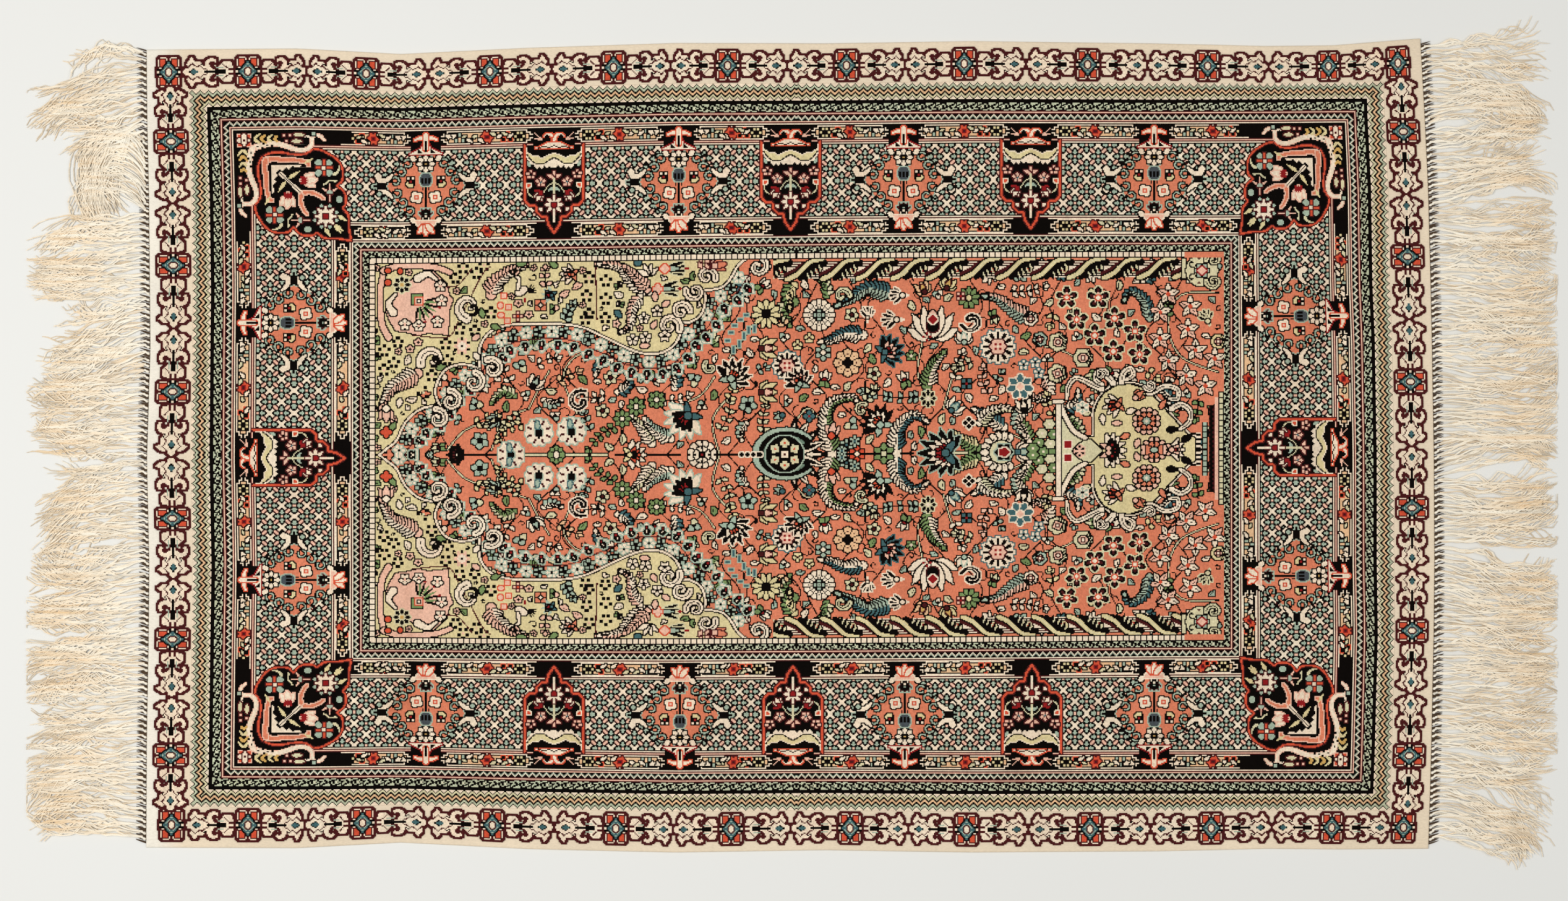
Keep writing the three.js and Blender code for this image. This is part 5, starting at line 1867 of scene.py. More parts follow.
# A new material: its nodes, their links, its shader and the piece's own coordinates
def newMaterial(name):
    material = bpy.data.materials.new(name)
    material.use_nodes = True
    nodes = material.node_tree.nodes
    links = material.node_tree.links
    nodes.clear()
    output = nodes.new("ShaderNodeOutputMaterial")
    shader = nodes.new("ShaderNodeBsdfPrincipled")
    links.new(shader.outputs["BSDF"], output.inputs["Surface"])
    place = nodes.new("ShaderNodeTexCoord").outputs["Object"]
    return material, nodes, links, shader, place


def shaderNode(nodes, kind, settings=None, **values):
    node = nodes.new("ShaderNode" + kind)
    for name, value in (settings or {}).items():
        setattr(node, name, value)
    for name, value in values.items():
        node.inputs[name].default_value = value
    return node


def mapped(nodes, links, value, fromMin, fromMax, toMin, toMax):
    span = shaderNode(nodes, "MapRange")
    for name, number in (("From Min", fromMin), ("From Max", fromMax), ("To Min", toMin), ("To Max", toMax)):
        span.inputs[name].default_value = number
    links.new(value, span.inputs["Value"])
    return span.outputs["Result"]


# Brightness that wanders between two values; the stretch sets how quickly along, across and upwards
def wander(nodes, links, place, stretch, scale, detail, low, high):
    mapping = shaderNode(nodes, "Mapping", Scale=stretch)
    links.new(place, mapping.inputs["Vector"])
    noise = shaderNode(nodes, "TexNoise", Scale=scale, Detail=detail, Roughness=0.6)
    links.new(mapping.outputs["Vector"], noise.inputs["Vector"])
    return mapped(nodes, links, noise.outputs["Fac"], 0.28, 0.72, low, high)


def combined(nodes, links, first, second, operation="MULTIPLY"):
    node = shaderNode(nodes, "Math", {"operation": operation})
    for socket, value in zip(node.inputs, (first, second)):
        if isinstance(value, (int, float)):
            socket.default_value = value
        else:
            links.new(value, socket)
    return node.outputs["Value"]


# A value from 0 to 1, scaled to a span above a least value
def spanned(nodes, links, value, span, least):
    return combined(nodes, links, combined(nodes, links, value, span), least, "ADD")


def axisOf(nodes, links, place, axis):
    split = shaderNode(nodes, "SeparateXYZ")
    links.new(place, split.inputs["Vector"])
    return split.outputs[axis]


# Rows or columns of threads: high on each thread, low in the groove between two
def ribs(nodes, links, place, axis, pitch, sharp):
    wave = combined(nodes, links, axisOf(nodes, links, place, axis), math.pi / pitch)
    wave = combined(nodes, links, wave, 0.0, "SINE")
    wave = combined(nodes, links, wave, 0.0, "ABSOLUTE")
    return combined(nodes, links, wave, sharp, "POWER")


# The shader's colour: between two dyes, made lighter or darker by a tone
def dyed(nodes, links, shader, first, second, share, tone):
    dye = shaderNode(nodes, "Mix", {"data_type": "RGBA", "blend_type": "MIX"}, A=(*first, 1), B=(*second, 1))
    links.new(share, dye.inputs["Factor"])
    shaded = shaderNode(nodes, "VectorMath", {"operation": "SCALE"})
    links.new(dye.outputs["Result"], shaded.inputs["Vector"])
    links.new(tone, shaded.inputs["Scale"])
    links.new(shaded.outputs["Vector"], shader.inputs["Base Color"])


def bumped(nodes, links, shader, height, strength, depth):
    bump = shaderNode(nodes, "Bump", Strength=strength, Distance=depth)
    links.new(height, bump.inputs["Height"])
    links.new(bump.outputs["Normal"], shader.inputs["Normal"])


silkLook = {
    "paintedGrooveShade": 0.16,
    "grainLow": 0.84,
    "grainHigh": 1.26,
    "bandsLow": 0.96,
    "bandsHigh": 1.06,
    "mottleLow": 0.92,
    "mottleHigh": 1.12,
    "deepen": 0.4,
    "deepShares": (0.86, 0.62, 0.5),
    "bump": 0.4,
    "rough": 0.62,
    "sheen": 0.06,
}


# Knotted silk of one yarn: rows of knots with painted shade in the grooves between them, uneven dye in bands
# and patches, a deeper tone where it is thickest
def silk(name, colour):
    material, nodes, links, shader, place = newMaterial(name)
    across = ribs(nodes, links, place, "X", knotX * mm, 0.7)
    along = ribs(nodes, links, place, "Y", knotY * mm, 0.7)
    knots = combined(nodes, links, across, along)
    grain = wander(
        nodes, links, place, (1.0, 0.8, 1.0), 640.0, 2.0, silkLook["grainLow"], silkLook["grainHigh"],
    )
    bandsOfDye = wander(
        nodes, links, place, (22.0, 1.5, 1.0), 1.0, 3.0, silkLook["bandsLow"], silkLook["bandsHigh"],
    )
    mottle = wander(
        nodes, links, place, (60.0, 34.0, 1.0), 1.0, 4.0, silkLook["mottleLow"], silkLook["mottleHigh"],
    )
    # painted shade: the colour is darker in the grooves between the knots
    grooveShade = spanned(nodes, links, knots, silkLook["paintedGrooveShade"], 1 - silkLook["paintedGrooveShade"])
    tone = combined(
        nodes, links, combined(nodes, links, grooveShade, grain), combined(nodes, links, bandsOfDye, mottle),
    )
    patchy = wander(nodes, links, place, (26.0, 12.0, 1.0), 1.0, 5.0, 0.0, silkLook["deepen"])
    base = linear(colour)
    deep = tuple(level * share for level, share in zip(base, silkLook["deepShares"]))
    dyed(nodes, links, shader, base, deep, patchy, tone)
    bumped(nodes, links, shader, combined(nodes, links, knots, grain), silkLook["bump"], 0.5 * mm)
    shader.inputs["Roughness"].default_value = silkLook["rough"]
    dark = max(colour) < 60
    shader.inputs["Specular IOR Level"].default_value = 0.02 if dark else 0.12
    shader.inputs["Sheen Weight"].default_value = 0.0 if dark else silkLook["sheen"]
    shader.inputs["Sheen Roughness"].default_value = 0.4
    shader.inputs["Sheen Tint"].default_value = (*linear([min(255, c + 30) for c in colour]), 1)
    return material


flatLook = {
    "colour": (246, 226, 196),
    # painted light: a paler colour for the left end, where more light falls
    "paintedLitEnd": (255, 246, 228),
    "paintedLitFrom": -0.57,
    "paintedLitTo": -0.595,
    "shade": 0.14,
    "bump": 0.5,
    "pitch": 1.25,
}


# Flat weave: fine ribs along the rug, lightly soiled, with painted shade in the grooves between threads and
# painted light that makes it paler towards the left end
def flatWeave(name):
    material, nodes, links, shader, place = newMaterial(name)
    weft = ribs(nodes, links, place, "X", 0.7 * mm, 0.6)
    warp = ribs(nodes, links, place, "Y", flatLook["pitch"] * mm, 0.8)
    cloth = combined(
        nodes, links, combined(nodes, links, weft, 0.35), combined(nodes, links, warp, 0.65), "ADD",
    )
    grain = wander(nodes, links, place, (1.0, 3.0, 1.0), 330.0, 3.0, 0.90, 1.08)
    soil = wander(nodes, links, place, (9.0, 9.0, 1.0), 1.0, 4.0, 0.93, 1.04)
    # painted shade: the colour is darker in the grooves between the threads
    grooveShade = spanned(nodes, links, cloth, flatLook["shade"], 1 - flatLook["shade"])
    tone = combined(nodes, links, combined(nodes, links, grooveShade, grain), soil)
    # painted light: the left end is mixed towards the paler colour
    end = axisOf(nodes, links, place, "X")
    paintedLitEnd = mapped(nodes, links, end, flatLook["paintedLitFrom"], flatLook["paintedLitTo"], 0.0, 1.0)
    dyed(nodes, links, shader, linear(flatLook["colour"]), linear(flatLook["paintedLitEnd"]), paintedLitEnd, tone)
    bumped(nodes, links, shader, combined(nodes, links, cloth, grain), flatLook["bump"], 0.4 * mm)
    shader.inputs["Roughness"].default_value = 0.85
    shader.inputs["Specular IOR Level"].default_value = 0.15
    return material


# Loose plied yarn: matt, with the slant of the ply, each yarn in its own tone; those that lie low get
# painted shade, darker and tinted towards the tip colour, and
# all are warmer towards their ends
def pliedYarn(name, colour, tips):
    material, nodes, links, shader, place = newMaterial(name)
    strand = wander(nodes, links, place, (45.0, 300.0, 300.0), 1.0, 2.0, 0.8, 1.25)
    # painted shade: yarns that lie low are darkened, standing in for the shade of the strands above them
    low = mapped(nodes, links, axisOf(nodes, links, place, "Z"), 0.7 * mm, 2.8 * mm, 1.0, 0.0)
    shade = spanned(nodes, links, low, -0.26, 1.05)
    own = spanned(nodes, links, nodes.new("ShaderNodeNewGeometry").outputs["Random Per Island"], 0.24, 0.86)
    strand = combined(nodes, links, combined(nodes, links, strand, own), shade)
    strand = combined(nodes, links, strand, 1.06, "MINIMUM")
    patch = wander(nodes, links, place, (26.0, 40.0, 1.0), 1.0, 3.0, 0.96, 1.02)
    plies = shaderNode(
        nodes, "TexWave", {"bands_direction": "DIAGONAL"}, Scale=330.0, Distortion=1.5, Detail=1.0,
    )
    links.new(place, plies.inputs["Vector"])
    ply = spanned(nodes, links, plies.outputs["Fac"], 0.08, 0.95)
    tone = combined(nodes, links, combined(nodes, links, strand, patch), ply)
    away = combined(nodes, links, axisOf(nodes, links, place, "X"), 0.0, "ABSOLUTE")
    outwards = mapped(nodes, links, away, fringe["warmFrom"], fringe["warmTo"], 0.15, 1.0)
    tan = wander(nodes, links, place, (14.0, 300.0, 1.0), 1.0, 3.0, 0.0, 1.0)
    # painted shade: low yarns are also tinted towards the tan tip colour; the tan of the outer ends is their
    # own
    lowShadeTint = combined(nodes, links, low, 0.8)
    tanTipsAndLowShade = combined(nodes, links, combined(nodes, links, outwards, tan), lowShadeTint, "MAXIMUM")
    dyed(nodes, links, shader, linear(colour), linear(tips), tanTipsAndLowShade, tone)
    bumped(nodes, links, shader, plies.outputs["Fac"], 0.3, 0.2 * mm)
    shader.inputs["Roughness"].default_value = 0.7
    shader.inputs["Specular IOR Level"].default_value = 0.2
    shader.inputs["Sheen Weight"].default_value = 0.3
    return material


def plainMaterial(name, colour, rough):
    material, nodes, links, shader, place = newMaterial(name)
    shader.inputs["Base Color"].default_value = (*linear(colour), 1)
    shader.inputs["Roughness"].default_value = rough
    return material


# Edges of one yarn's knots that stand free above the flat weave, as pairs of grid corners
def edgesOfMotifs(cells, name):
    rim = bands["flatWeave"][1]
    upwards = np.minimum(np.arange(acrossCount), acrossCount - 1 - np.arange(acrossCount))
    inwards = np.minimum(np.arange(alongCount), alongCount - 1 - np.arange(alongCount))
    depth = np.minimum.outer(upwards, inwards)
    mine = (cells == yarn[name]) & (depth < rim)
    free = cells == bare
    found = []
    corner = lambda row, column: row * (alongCount + 1) + column
    for dRow, dColumn, first, second in (
        (1, 0, (1, 1), (1, 0)), (-1, 0, (0, 0), (0, 1)), (0, 1, (0, 1), (1, 1)), (0, -1, (1, 0), (0, 0)),
    ):
        row, column = np.nonzero(mine & np.roll(free, (-dRow, -dColumn), (0, 1)))
        ends = [corner(row + end[0], column + end[1]) for end in (first, second)]
        found.append(np.stack(ends, axis=1))
    return np.concatenate(found)


# One piece for each yarn, lying on the cloth; the raised motifs of the border get walls down to the flat
# weave
def pilePieces(cells):
    found = patches(cells)
    rimOfPile = bands["flatWeave"][1]
    corner = lambda row, column: row * (alongCount + 1) + column
    pieces = []
    raised = np.zeros((acrossCount, alongCount), bool)
    raised[rimOfPile:-rimOfPile, rimOfPile:-rimOfPile] = True
    for name in yarnNames:
        mine = found[found[:, 4] == yarn[name]]
        if len(mine) == 0:
            continue
        low, high, bottom, top = mine[:, 0], mine[:, 1], mine[:, 2], mine[:, 3]
        faces = np.stack(
            [corner(bottom, low), corner(bottom, high), corner(top, high), corner(top, low)], axis=1,
        )
        inPile = raised[bottom, low]
        z = np.where(inPile, weave["pileThick"], weave["motifThick"])
        ids, index = np.unique(faces, return_inverse=True)
        height = np.zeros(len(ids))
        np.maximum.at(height, index.reshape(faces.shape), z[:, None])
        places = np.stack(
            [placeX.ravel()[ids], placeY.ravel()[ids], height + placeSwell.ravel()[ids]], axis=1,
        )
        faceList = index.reshape(faces.shape)
        wallFaces = edgesOfMotifs(cells, name)
        if len(wallFaces):
            spots, index = np.unique(wallFaces, return_inverse=True)
            rise = placeSwell.ravel()[spots]
            flat = np.stack([placeX.ravel()[spots], placeY.ravel()[spots]], axis=1)
            tops = np.column_stack([flat, rise + weave["motifThick"]])
            feet = np.column_stack([flat, rise + weave["groundThick"] - 0.1])
            near, far = index.reshape(wallFaces.shape).T + len(places)
            wallFaces = np.stack([near, far, far + len(spots), near + len(spots)], axis=1)
            places = np.concatenate([places, tops, feet])
            faceList = np.concatenate([faceList, wallFaces])
        piece = meshPiece("pile_" + name, places, faceList.tolist(), silk("silk " + name, yarns[name]), False)
        mapFromAbove(piece)
        pieces.append(piece)
        print("rug: pile_" + name, len(faceList), "patches")
    return pieces


pile = pilePieces(whole)


# The flat-woven ground under it all: a closed slab with rounded edges
def groundPiece():
    countX, countY = 150, 96
    edge = 3.0
    sx = np.concatenate(
        [[0.0, 0.35, 1.2, edge], np.linspace(edge + 4, 2 * weave["halfLength"] - edge - 4, countX)]
    )
    sx = np.concatenate([sx, 2 * weave["halfLength"] - np.array([edge, 1.2, 0.35, 0.0])]) - weave[
        "halfLength"
    ]
    sy = np.concatenate(
        [[0.0, 0.35, 1.2, edge], np.linspace(edge + 4, 2 * weave["halfWidth"] - edge - 4, countY)]
    )
    sy = np.concatenate([sy, 2 * weave["halfWidth"] - np.array([edge, 1.2, 0.35, 0.0])]) - weave["halfWidth"]
    gx, gy = np.meshgrid(sx, sy)
    fromRim = np.minimum(weave["halfLength"] - abs(gx), weave["halfWidth"] - abs(gy))
    top = np.interp(fromRim, [0.0, 0.35, 1.2, 3.0, 37.5, 39.5], [1.0, 1.75, 2.2, 2.0, 2.0, 3.3])
    low = np.interp(fromRim, [0.0, 0.35, 1.2], [1.0, 0.35, 0.0])
    x, y = woven(gx, gy)
    x = x + shiftX
    y = y + shiftY
    rows, columns = gx.shape
    upperPlaces = np.stack([x, y, top + swellAt(x, y)], axis=-1).reshape(-1, 3)
    lowerPlaces = np.stack([x, y, low], axis=-1).reshape(-1, 3)
    number = np.arange(rows * columns).reshape(rows, columns)
    quads = np.stack([number[:-1, :-1], number[:-1, 1:], number[1:, 1:], number[1:, :-1]], axis=-1).reshape(
        -1, 4,
    )
    below = quads[:, ::-1] + rows * columns
    rim = np.concatenate([number[0, :], number[1:, -1], number[-1, -2::-1], number[-2:0:-1, 0]])
    after = np.roll(rim, -1)
    sides = np.stack([after, rim, rim + rows * columns, after + rows * columns], axis=-1)
    faces = np.concatenate([quads, below, sides])
    piece = meshPiece(
        "flat_woven_ground", np.concatenate([upperPlaces, lowerPlaces]), faces.tolist(),
        flatWeave("flat weave"),
    )
    mapFromAbove(piece)
    return piece


ground = groundPiece()
print("rug: flat-woven ground")


# Yarn with a round section, along points in millimetres; every run has as many points as the next
def yarnTubes(runs, radii, sides=4, flat=1.0):
    runs = np.asarray(runs, float)
    count, steps, _ = runs.shape
    along = np.gradient(runs, axis=1)
    along /= np.maximum(np.linalg.norm(along, axis=2, keepdims=True), 1e-9)
    across = np.cross(along, np.array([0.0, 0.0, 1.0]))
    across /= np.maximum(np.linalg.norm(across, axis=2, keepdims=True), 1e-9)
    up = np.cross(across, along)
    angles = 2 * math.pi * (np.arange(sides) + (0.25 if sides == 3 else 0.5)) / sides
    ring = (
        across[:, :, None] * np.cos(angles)[None, None, :, None]
        + up[:, :, None] * flat * np.sin(angles)[None, None, :, None]
    )
    places = runs[:, :, None] + ring * radii[:, :, None, None]
    first = np.arange(count * steps * sides).reshape(count, steps, sides)
    near = first[:, :-1]
    far = first[:, 1:]
    turned = np.roll(np.arange(sides), -1)
    faces = np.stack([near, near[:, :, turned], far[:, :, turned], far], axis=-1).reshape(-1, 4)
    return places.reshape(-1, 3), faces


# The fringe hangs together in sheaves, given along the rug's short edge
leftSheaves = [
    # rootFrom, rootTo, tipFrom, tipTo, reachFrom, reachTo
    (373, 357, 402, 373, 64, 68),
    (357, 321, 343, 303, 100, 82),
    (321, 300, 298, 280, 80, 62),
    (300, 219, 275, 222, 56, 36),
    (219, 187, 216, 191, 90, 100),
    (187, 142, 188, 134, 99, 96),
    (142, 126, 128, 118, 72, 62),
    (126, 65, 98, 61, 86, 86),
    (65, 28, 57, 28, 98, 98),
    (28, -4, 22, -6, 95, 94),
    (-4, -33, -13, -37, 88, 84),
    (-33, -91, -43, -90, 95, 92),
    (-91, -161, -103, -166, 100, 102),
    (-161, -236, -176, -232, 106, 104),
    (-236, -282, -239, -277, 94, 90),
    (-282, -373, -283, -364, 106, 92),
]
rightSheaves = [
    # rootFrom, rootTo, tipFrom, tipTo, reachFrom, reachTo
    (379, 351, 389, 349, 108, 106),
    (351, 298, 343, 310, 96, 92),
    (298, 238, 304, 254, 92, 90),
    (238, 187, 243, 190, 106, 106),
    (187, 95, 186, 94, 108, 107),
    (95, 13, 90, 18, 106, 106),
    (13, -33, 12, -30, 100, 98),
    (-33, -65, -34, -56, 106, 96),
    (-65, -94, -62, -92, 106, 106),
    (-94, -167, -106, -166, 108, 106),
    (-167, -195, -171, -192, 104, 104),
    (-195, -242, -197, -242, 106, 106),
    (-242, -287, -246, -281, 108, 100),
    (-287, -330, -296, -341, 100, 94),
    (-330, -373, -349, -391, 94, 82),
]
# Locks that swirl instead of hanging straight: where they start, then three places they pass and where they
# end
leftTangles = [
    # root, reach1, y1, reach2, y2, reach3, y3, reach4, y4
    (322, 24, 330, 52, 316, 76, 300, 84, 268),
    (288, 22, 300, 50, 300, 78, 284, 80, 262),
    (281, 20, 305, 58, 300, 62, 262, 30, 222),
    (262, 16, 300, 56, 292, 58, 250, 34, 214),
    (240, 14, 272, 50, 278, 60, 240, 44, 216),
    (218, 14, 236, 44, 252, 62, 236, 56, 222),
]
rightTangles = [
    # root, reach1, y1, reach2, y2, reach3, y3, reach4, y4
    (352, 26, 372, 60, 330, 84, 332, 96, 318),
    (330, 30, 318, 58, 352, 84, 336, 94, 300),
    (300, 30, 320, 62, 300, 78, 318, 92, 306),
    (2, 30, 14, 60, -6, 84, 12, 104, 4),
    (-8, 30, 2, 56, 18, 84, 6, 104, -2),
    (-31, 28, -20, 60, -8, 84, 4, 102, -14),
    (-322, 26, -312, 50, -344, 76, -330, 92, -352),
    (-352, 24, -340, 48, -372, 74, -352, 90, -380),
    (-372, 20, -362, 46, -392, 72, -376, 80, -392),
]
fringe = {
    "locks": 132,
    "yarnsPerLock": 11,
    "together": 3,
    "apart": 0.42,
    "yarnRadius": 0.52,
    "knotLength": 4.2,
    "knotRadius": 1.15,
    "steps": 19,
    "fan": 3.3,
    "wave": 2.6,
    "unevenEnds": 6.0,
    "lift": 3.4,
    "longest": 114.0,
    "colour": (255, 248, 230),
    "tips": (240, 208, 162),
    # painted shadow: the dark brown of the threads laid under the knots
    "shadowUnderKnots": (80, 58, 34),
    "warmFrom": 0.60,
    "warmTo": 0.68,
}


def edgeAt(side, y):
    rows = np.array(driftAlong, float)
    return side * weave["halfLength"] + np.interp(y, rows[:, 0], rows[:, 1 if side < 0 else 6])


# Five guiding places (reach, y) for every lock
def lockGuides(roots, sheaves, tangles, chance):
    table = np.array(sheaves, float)
    row = np.clip(np.searchsorted(-table[:, 1], -roots, side="left"), 0, len(table) - 1)
    share = (table[row, 0] - roots) / (table[row, 0] - table[row, 1])
    tips = table[row, 2] + (table[row, 3] - table[row, 2]) * share
    reach = table[row, 4] + (table[row, 5] - table[row, 4]) * share
    parts = np.array([0.0, 0.25, 0.5, 0.75, 1.0])
    ease = np.array([0.0, 0.14, 0.46, 0.82, 1.0])
    lean = 5.0 * np.sin(2 * math.pi * roots / 118 + 0.6) + 2.5 * np.sin(2 * math.pi * roots / 47)
    guides = np.stack([reach[:, None] * parts, roots[:, None] + (tips - roots)[:, None] * ease], axis=-1)
    guides[:, 2, 1] += lean
    guides[:, 3, 1] -= 0.5 * lean
    # neighbouring locks lean together, and each one a little its own way
    places = np.arange(-420.0, 421.0, 26.0)
    for point, together, alone in ((2, 5.5, 2.6), (3, 9.0, 5.5), (4, 11.0, 9.0)):
        shared = np.interp(roots, places, chance.normal(0, together, len(places)))
        guides[:, point, 1] += shared + chance.normal(0, alone, len(roots))
    shared = np.interp(roots, places, chance.normal(0, 3.5, len(places)))
    guides[:, 3:, 0] += (shared + chance.normal(0, 3.5, len(roots)))[:, None]
    rows = np.array(tangles, float)
    for first, second in zip(rows, rows[1:]):
        if first[0] - second[0] > 32:
            continue
        mine = (roots <= first[0]) & (roots > second[0])
        t = ((first[0] - roots[mine]) / (first[0] - second[0]))[:, None]
        along = (first + (second - first) * t)[:, 1:].reshape(-1, 4, 2)
        guides[mine, 1:] = along
    return guides


def fringePieces(name, side, sheaves, tangles, seed):
    chance = np.random.default_rng(seed)
    count = fringe["locks"]
    roots = np.linspace(sheaves[0][0], sheaves[-1][1], count + 2)[1:-1] + chance.normal(0, 0.35, count)
    guides = lockGuides(roots, sheaves, tangles, chance)
    knotEnd = roots + 2.6 + chance.normal(0, 0.4, count)
    rootX = edgeAt(side, roots) + side * 0.4
    # the row of knots, slanting up and outwards
    t = np.linspace(0, 1, 8)
    knotRuns = np.stack([
        rootX[:, None] + side * fringe["knotLength"] * t[None, :],
        roots[:, None] + (knotEnd - roots)[:, None] * t[None, :],
        1.5 + 0.5 * np.sin(math.pi * t)[None, :] + np.zeros((count, 1)),
    ], axis=-1)
    swelling = np.array([0.6, 1.0, 1.15, 0.95, 0.75, 0.95, 1.05, 0.9]) * fringe["knotRadius"]
    knotPlaces, knotFaces = yarnTubes(knotRuns, np.repeat(swelling[None], count, axis=0), 8)
    # dark threads under the knots, a painted shadow where the knots shade what lies beneath them
    t = np.linspace(0, 1, 5)
    lowCount = 4 * count
    lowRoots = np.linspace(sheaves[0][0] - 2, sheaves[-1][1] + 2, lowCount)
    lowRuns = np.stack([
        edgeAt(side, lowRoots)[:, None] + side * (9.5 * t[None, :] + 0.2),
        lowRoots[:, None] + 3.0 * t[None, :] + chance.normal(0, 0.5, (lowCount, 1)),
        0.75 + np.zeros((lowCount, 5)),
    ], axis=-1)
    lowRadii = np.interp(t, [0, 0.5, 1], [0.85, 0.75, 0.15])
    lowPlaces, lowFaces = yarnTubes(lowRuns, np.repeat(lowRadii[None], lowCount, axis=0), 4)
    # the loose yarns of every lock
    yarnCount = fringe["yarnsPerLock"]
    steps = fringe["steps"]
    t = np.linspace(0, 1, steps) ** 1.15
    lock = np.repeat(np.arange(count), yarnCount)
    total = len(lock)
    weights = np.stack([math.comb(4, k) * t ** k * (1 - t) ** (4 - k) for k in range(5)])
    path = np.einsum("lkc,kt->ltc", guides, weights)[lock]
    stretch = np.clip(
        1 + chance.normal(0, fringe["unevenEnds"], total) / np.maximum(path[:, -1, 0], 30), 0.6, 1.2,
    )
    reach = np.minimum(path[:, :, 0] * stretch[:, None], fringe["longest"])
    across = path[:, :, 1]
    bearing = np.stack([np.gradient(reach, axis=1), np.gradient(across, axis=1)], axis=-1)
    bearing /= np.maximum(np.linalg.norm(bearing, axis=2, keepdims=True), 1e-6)
    # yarns that stay together share these
    bundle = np.arange(total) // fringe["together"]
    spread = np.clip(chance.normal(0, 1.0, total), -2.0, 2.0)[bundle]
    rank = chance.random(total)[bundle] * 0.8 + 0.2 * chance.random(total)
    phase = (chance.random((total, 3)) * 2 * math.pi)[bundle]
    loose = fringe["wave"] * (0.3 + chance.random(total) ** 2 * 1.6)[bundle]
    waves = (1.6 + 2.2 * chance.random(total))[bundle]
    drift = chance.normal(0, 7.5, total)[bundle] + chance.normal(0, 1.6, total)
    apart = fringe["apart"] * chance.normal(0, 1.0, (total, 1)) * (0.5 + 1.4 * t * t)[None]
    off = spread[:, None] * (0.5 + fringe["fan"] * np.clip(t * 4, 0, 1) ** 1.1)[None] * 0.66
    off += drift[:, None] * (t * t)[None] + apart
    off += loose[:, None] * np.clip(t * 2.5, 0, 1)[None] * np.sin(
        phase[:, :1] + 2 * math.pi * waves[:, None] * t
    )
    off += 0.8 * np.clip(t * 3, 0, 1)[None] * np.sin(phase[:, 1:2] + 2 * math.pi * (waves[:, None] + 2) * t)
    x = rootX[lock][:, None] + side * (fringe["knotLength"] - 1.2 + reach - off * bearing[:, :, 1])
    y = across + (knotEnd - roots)[lock][:, None] * (1 - t)[None] ** 2 + off * bearing[:, :, 0]
    x = side * np.minimum(abs(x), weave["halfLength"] + fringe["longest"] + 2)
    z = 0.6 + fringe["lift"] * rank[:, None] * (0.6 + 0.4 * np.sin(math.pi * np.clip(t * 1.1, 0, 1)))
    z = z + 0.5 * np.sin(phase[:, 2:] + 2 * math.pi * 2.4 * t) * np.clip(t * 3, 0, 1) * rank[:, None]
    runs = np.stack([x, y, np.maximum(z, fringe["yarnRadius"] + 0.05)], axis=-1)
    taper = np.interp(t, [0, 0.92, 1], [1, 1, 0.6])
    radii = fringe["yarnRadius"] * (0.8 + 0.4 * chance.random(total))[:, None] * taper[None]
    yarnPlaces, yarnFaces = yarnTubes(runs, radii, 3, 0.6)
    shift = np.array([shiftX, shiftY, 0.0])
    pieces = []
    for part, places, faces, material in (
        ("knots", knotPlaces, knotFaces, warpYarn),
        ("roots", lowPlaces, lowFaces, shadowYarn),
        ("yarns", yarnPlaces, yarnFaces, warpYarn),
    ):
        piece = meshPiece(name + "_" + part, places + shift, faces.tolist(), material, part != "yarns")
        mapFromAbove(piece)
        pieces.append(piece)
    print("rug:", name, (len(yarnFaces) + len(lowFaces) + len(knotFaces)) * 2, "triangles")
    return pieces


warpYarn = pliedYarn("warp yarn", fringe["colour"], fringe["tips"])
# painted shadow: a dark yarn under the knots in place of their shade
shadowYarn = pliedYarn("painted shadow yarn", fringe["shadowUnderKnots"], fringe["shadowUnderKnots"])
leftFringe = fringePieces("left_fringe", -1, leftSheaves, leftTangles, 7)
rightFringe = fringePieces("right_fringe", 1, rightSheaves, rightTangles, 8)

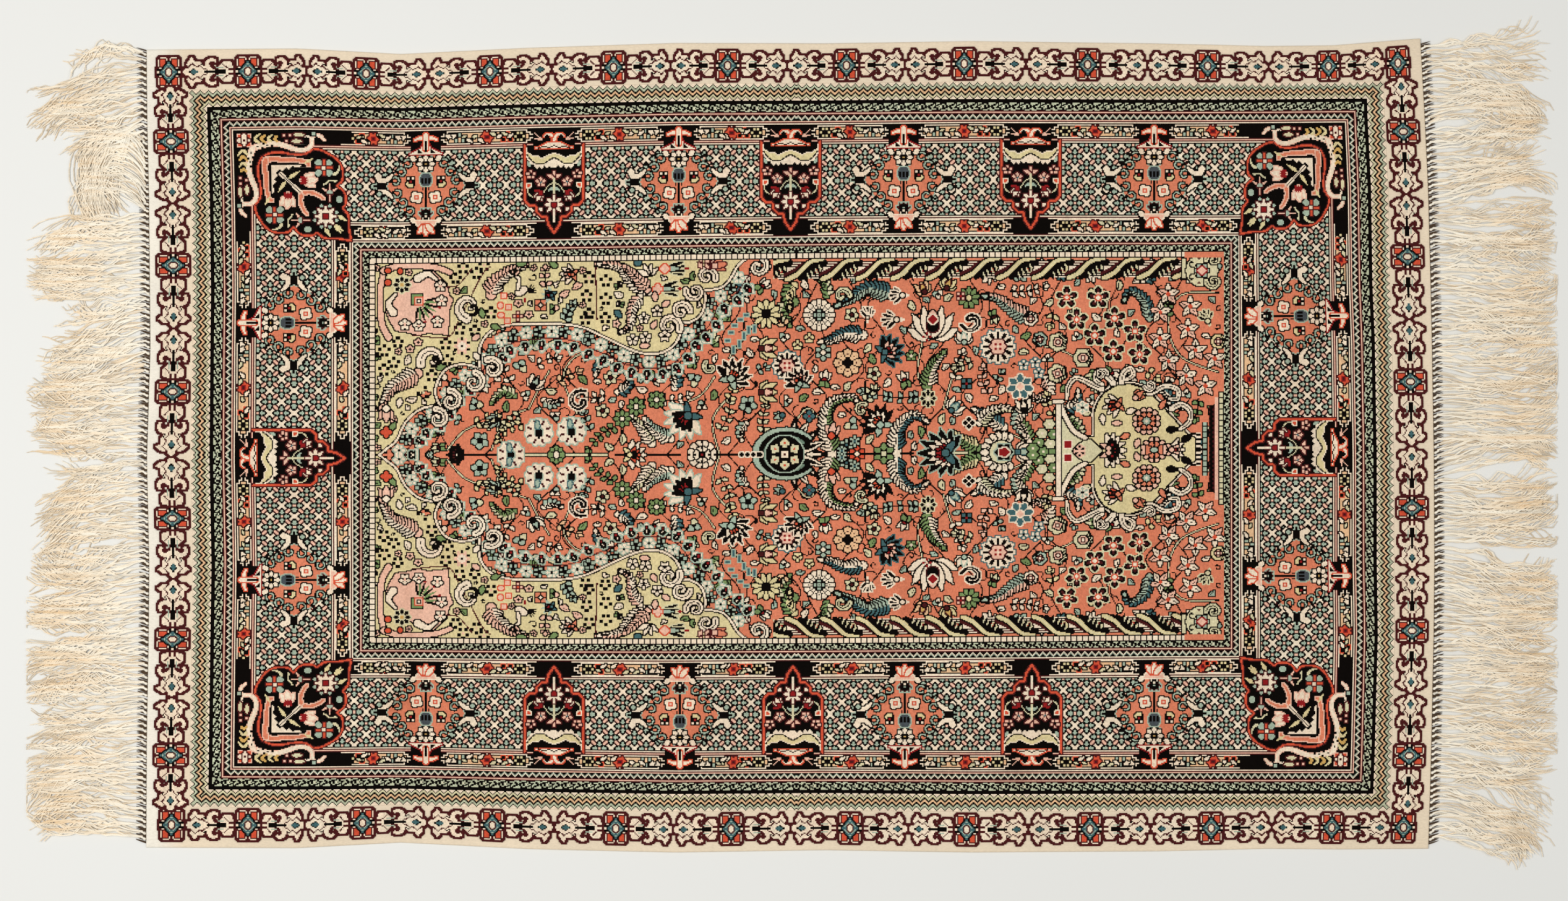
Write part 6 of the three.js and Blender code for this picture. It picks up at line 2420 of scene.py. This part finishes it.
for piece in [ground] + pile:
    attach(piece, "root")
    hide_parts("rug_body")
for pieces, node in ((leftFringe, "fringe_left"), (rightFringe, "fringe_right")):
    for piece in pieces:
        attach(piece, "root")
        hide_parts(node)

# Floor, light and camera
floorMaterial = plainMaterial("pale floor", (236, 235, 229), 0.6)
floor = meshPiece(
    "floor",
    [(-4000, -4000, 0), (4000, -4000, 0), (4000, 4000, 0), (-4000, 4000, 0)],
    [(0, 1, 2, 3)],
    floorMaterial,
    False,
)
floor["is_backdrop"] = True


def lamp(name, place, size, power, aim):
    data = bpy.data.lights.new(name, "AREA")
    data.shape = "RECTANGLE"
    data.size, data.size_y = size
    data.energy = power
    light = bpy.data.objects.new(name, data)
    light.location = place
    towards = light.location - type(light.location)(aim)
    light.rotation_euler = towards.to_track_quat("Z", "Y").to_euler()
    bpy.context.collection.objects.link(light)


studio = {
    # camera: height and width of the view in metres, shift of its middle in millimetres
    "height": 2.6,
    "width": 1.47,
    "viewX": -7.25,
    "viewY": -2.9,
    "windowPower": 52,
    "fillPower": 26,
    "roomLight": 0.36,
}
lamp("window", (-1.4, 0.0, 2.8), (1.6, 1.2), studio["windowPower"], (-0.2, 0, 0))
lamp("fill", (1.9, 0.1, 2.6), (3.0, 2.0), studio["fillPower"], (0.9, 0, 0))
world = bpy.data.worlds.new("room")
bpy.context.scene.world = world
world.use_nodes = True
world.node_tree.nodes["Background"].inputs["Color"].default_value = (0.95, 0.96, 0.98, 1)
world.node_tree.nodes["Background"].inputs["Strength"].default_value = studio["roomLight"]
camera = bpy.data.objects.new("camera", bpy.data.cameras.new("camera"))
camera.data.sensor_width = 36
camera.data.lens = 36 * studio["height"] / studio["width"]
camera.data.clip_end = 20
camera.location = ((studio["viewX"] + shiftX) * mm, (studio["viewY"] + shiftY) * mm, studio["height"])
bpy.context.collection.objects.link(camera)
bpy.context.scene.camera = camera
bpy.context.scene.view_settings.view_transform = "Standard"
print("rug: floor, light and camera")

visualBox = [list(corner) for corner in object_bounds()]
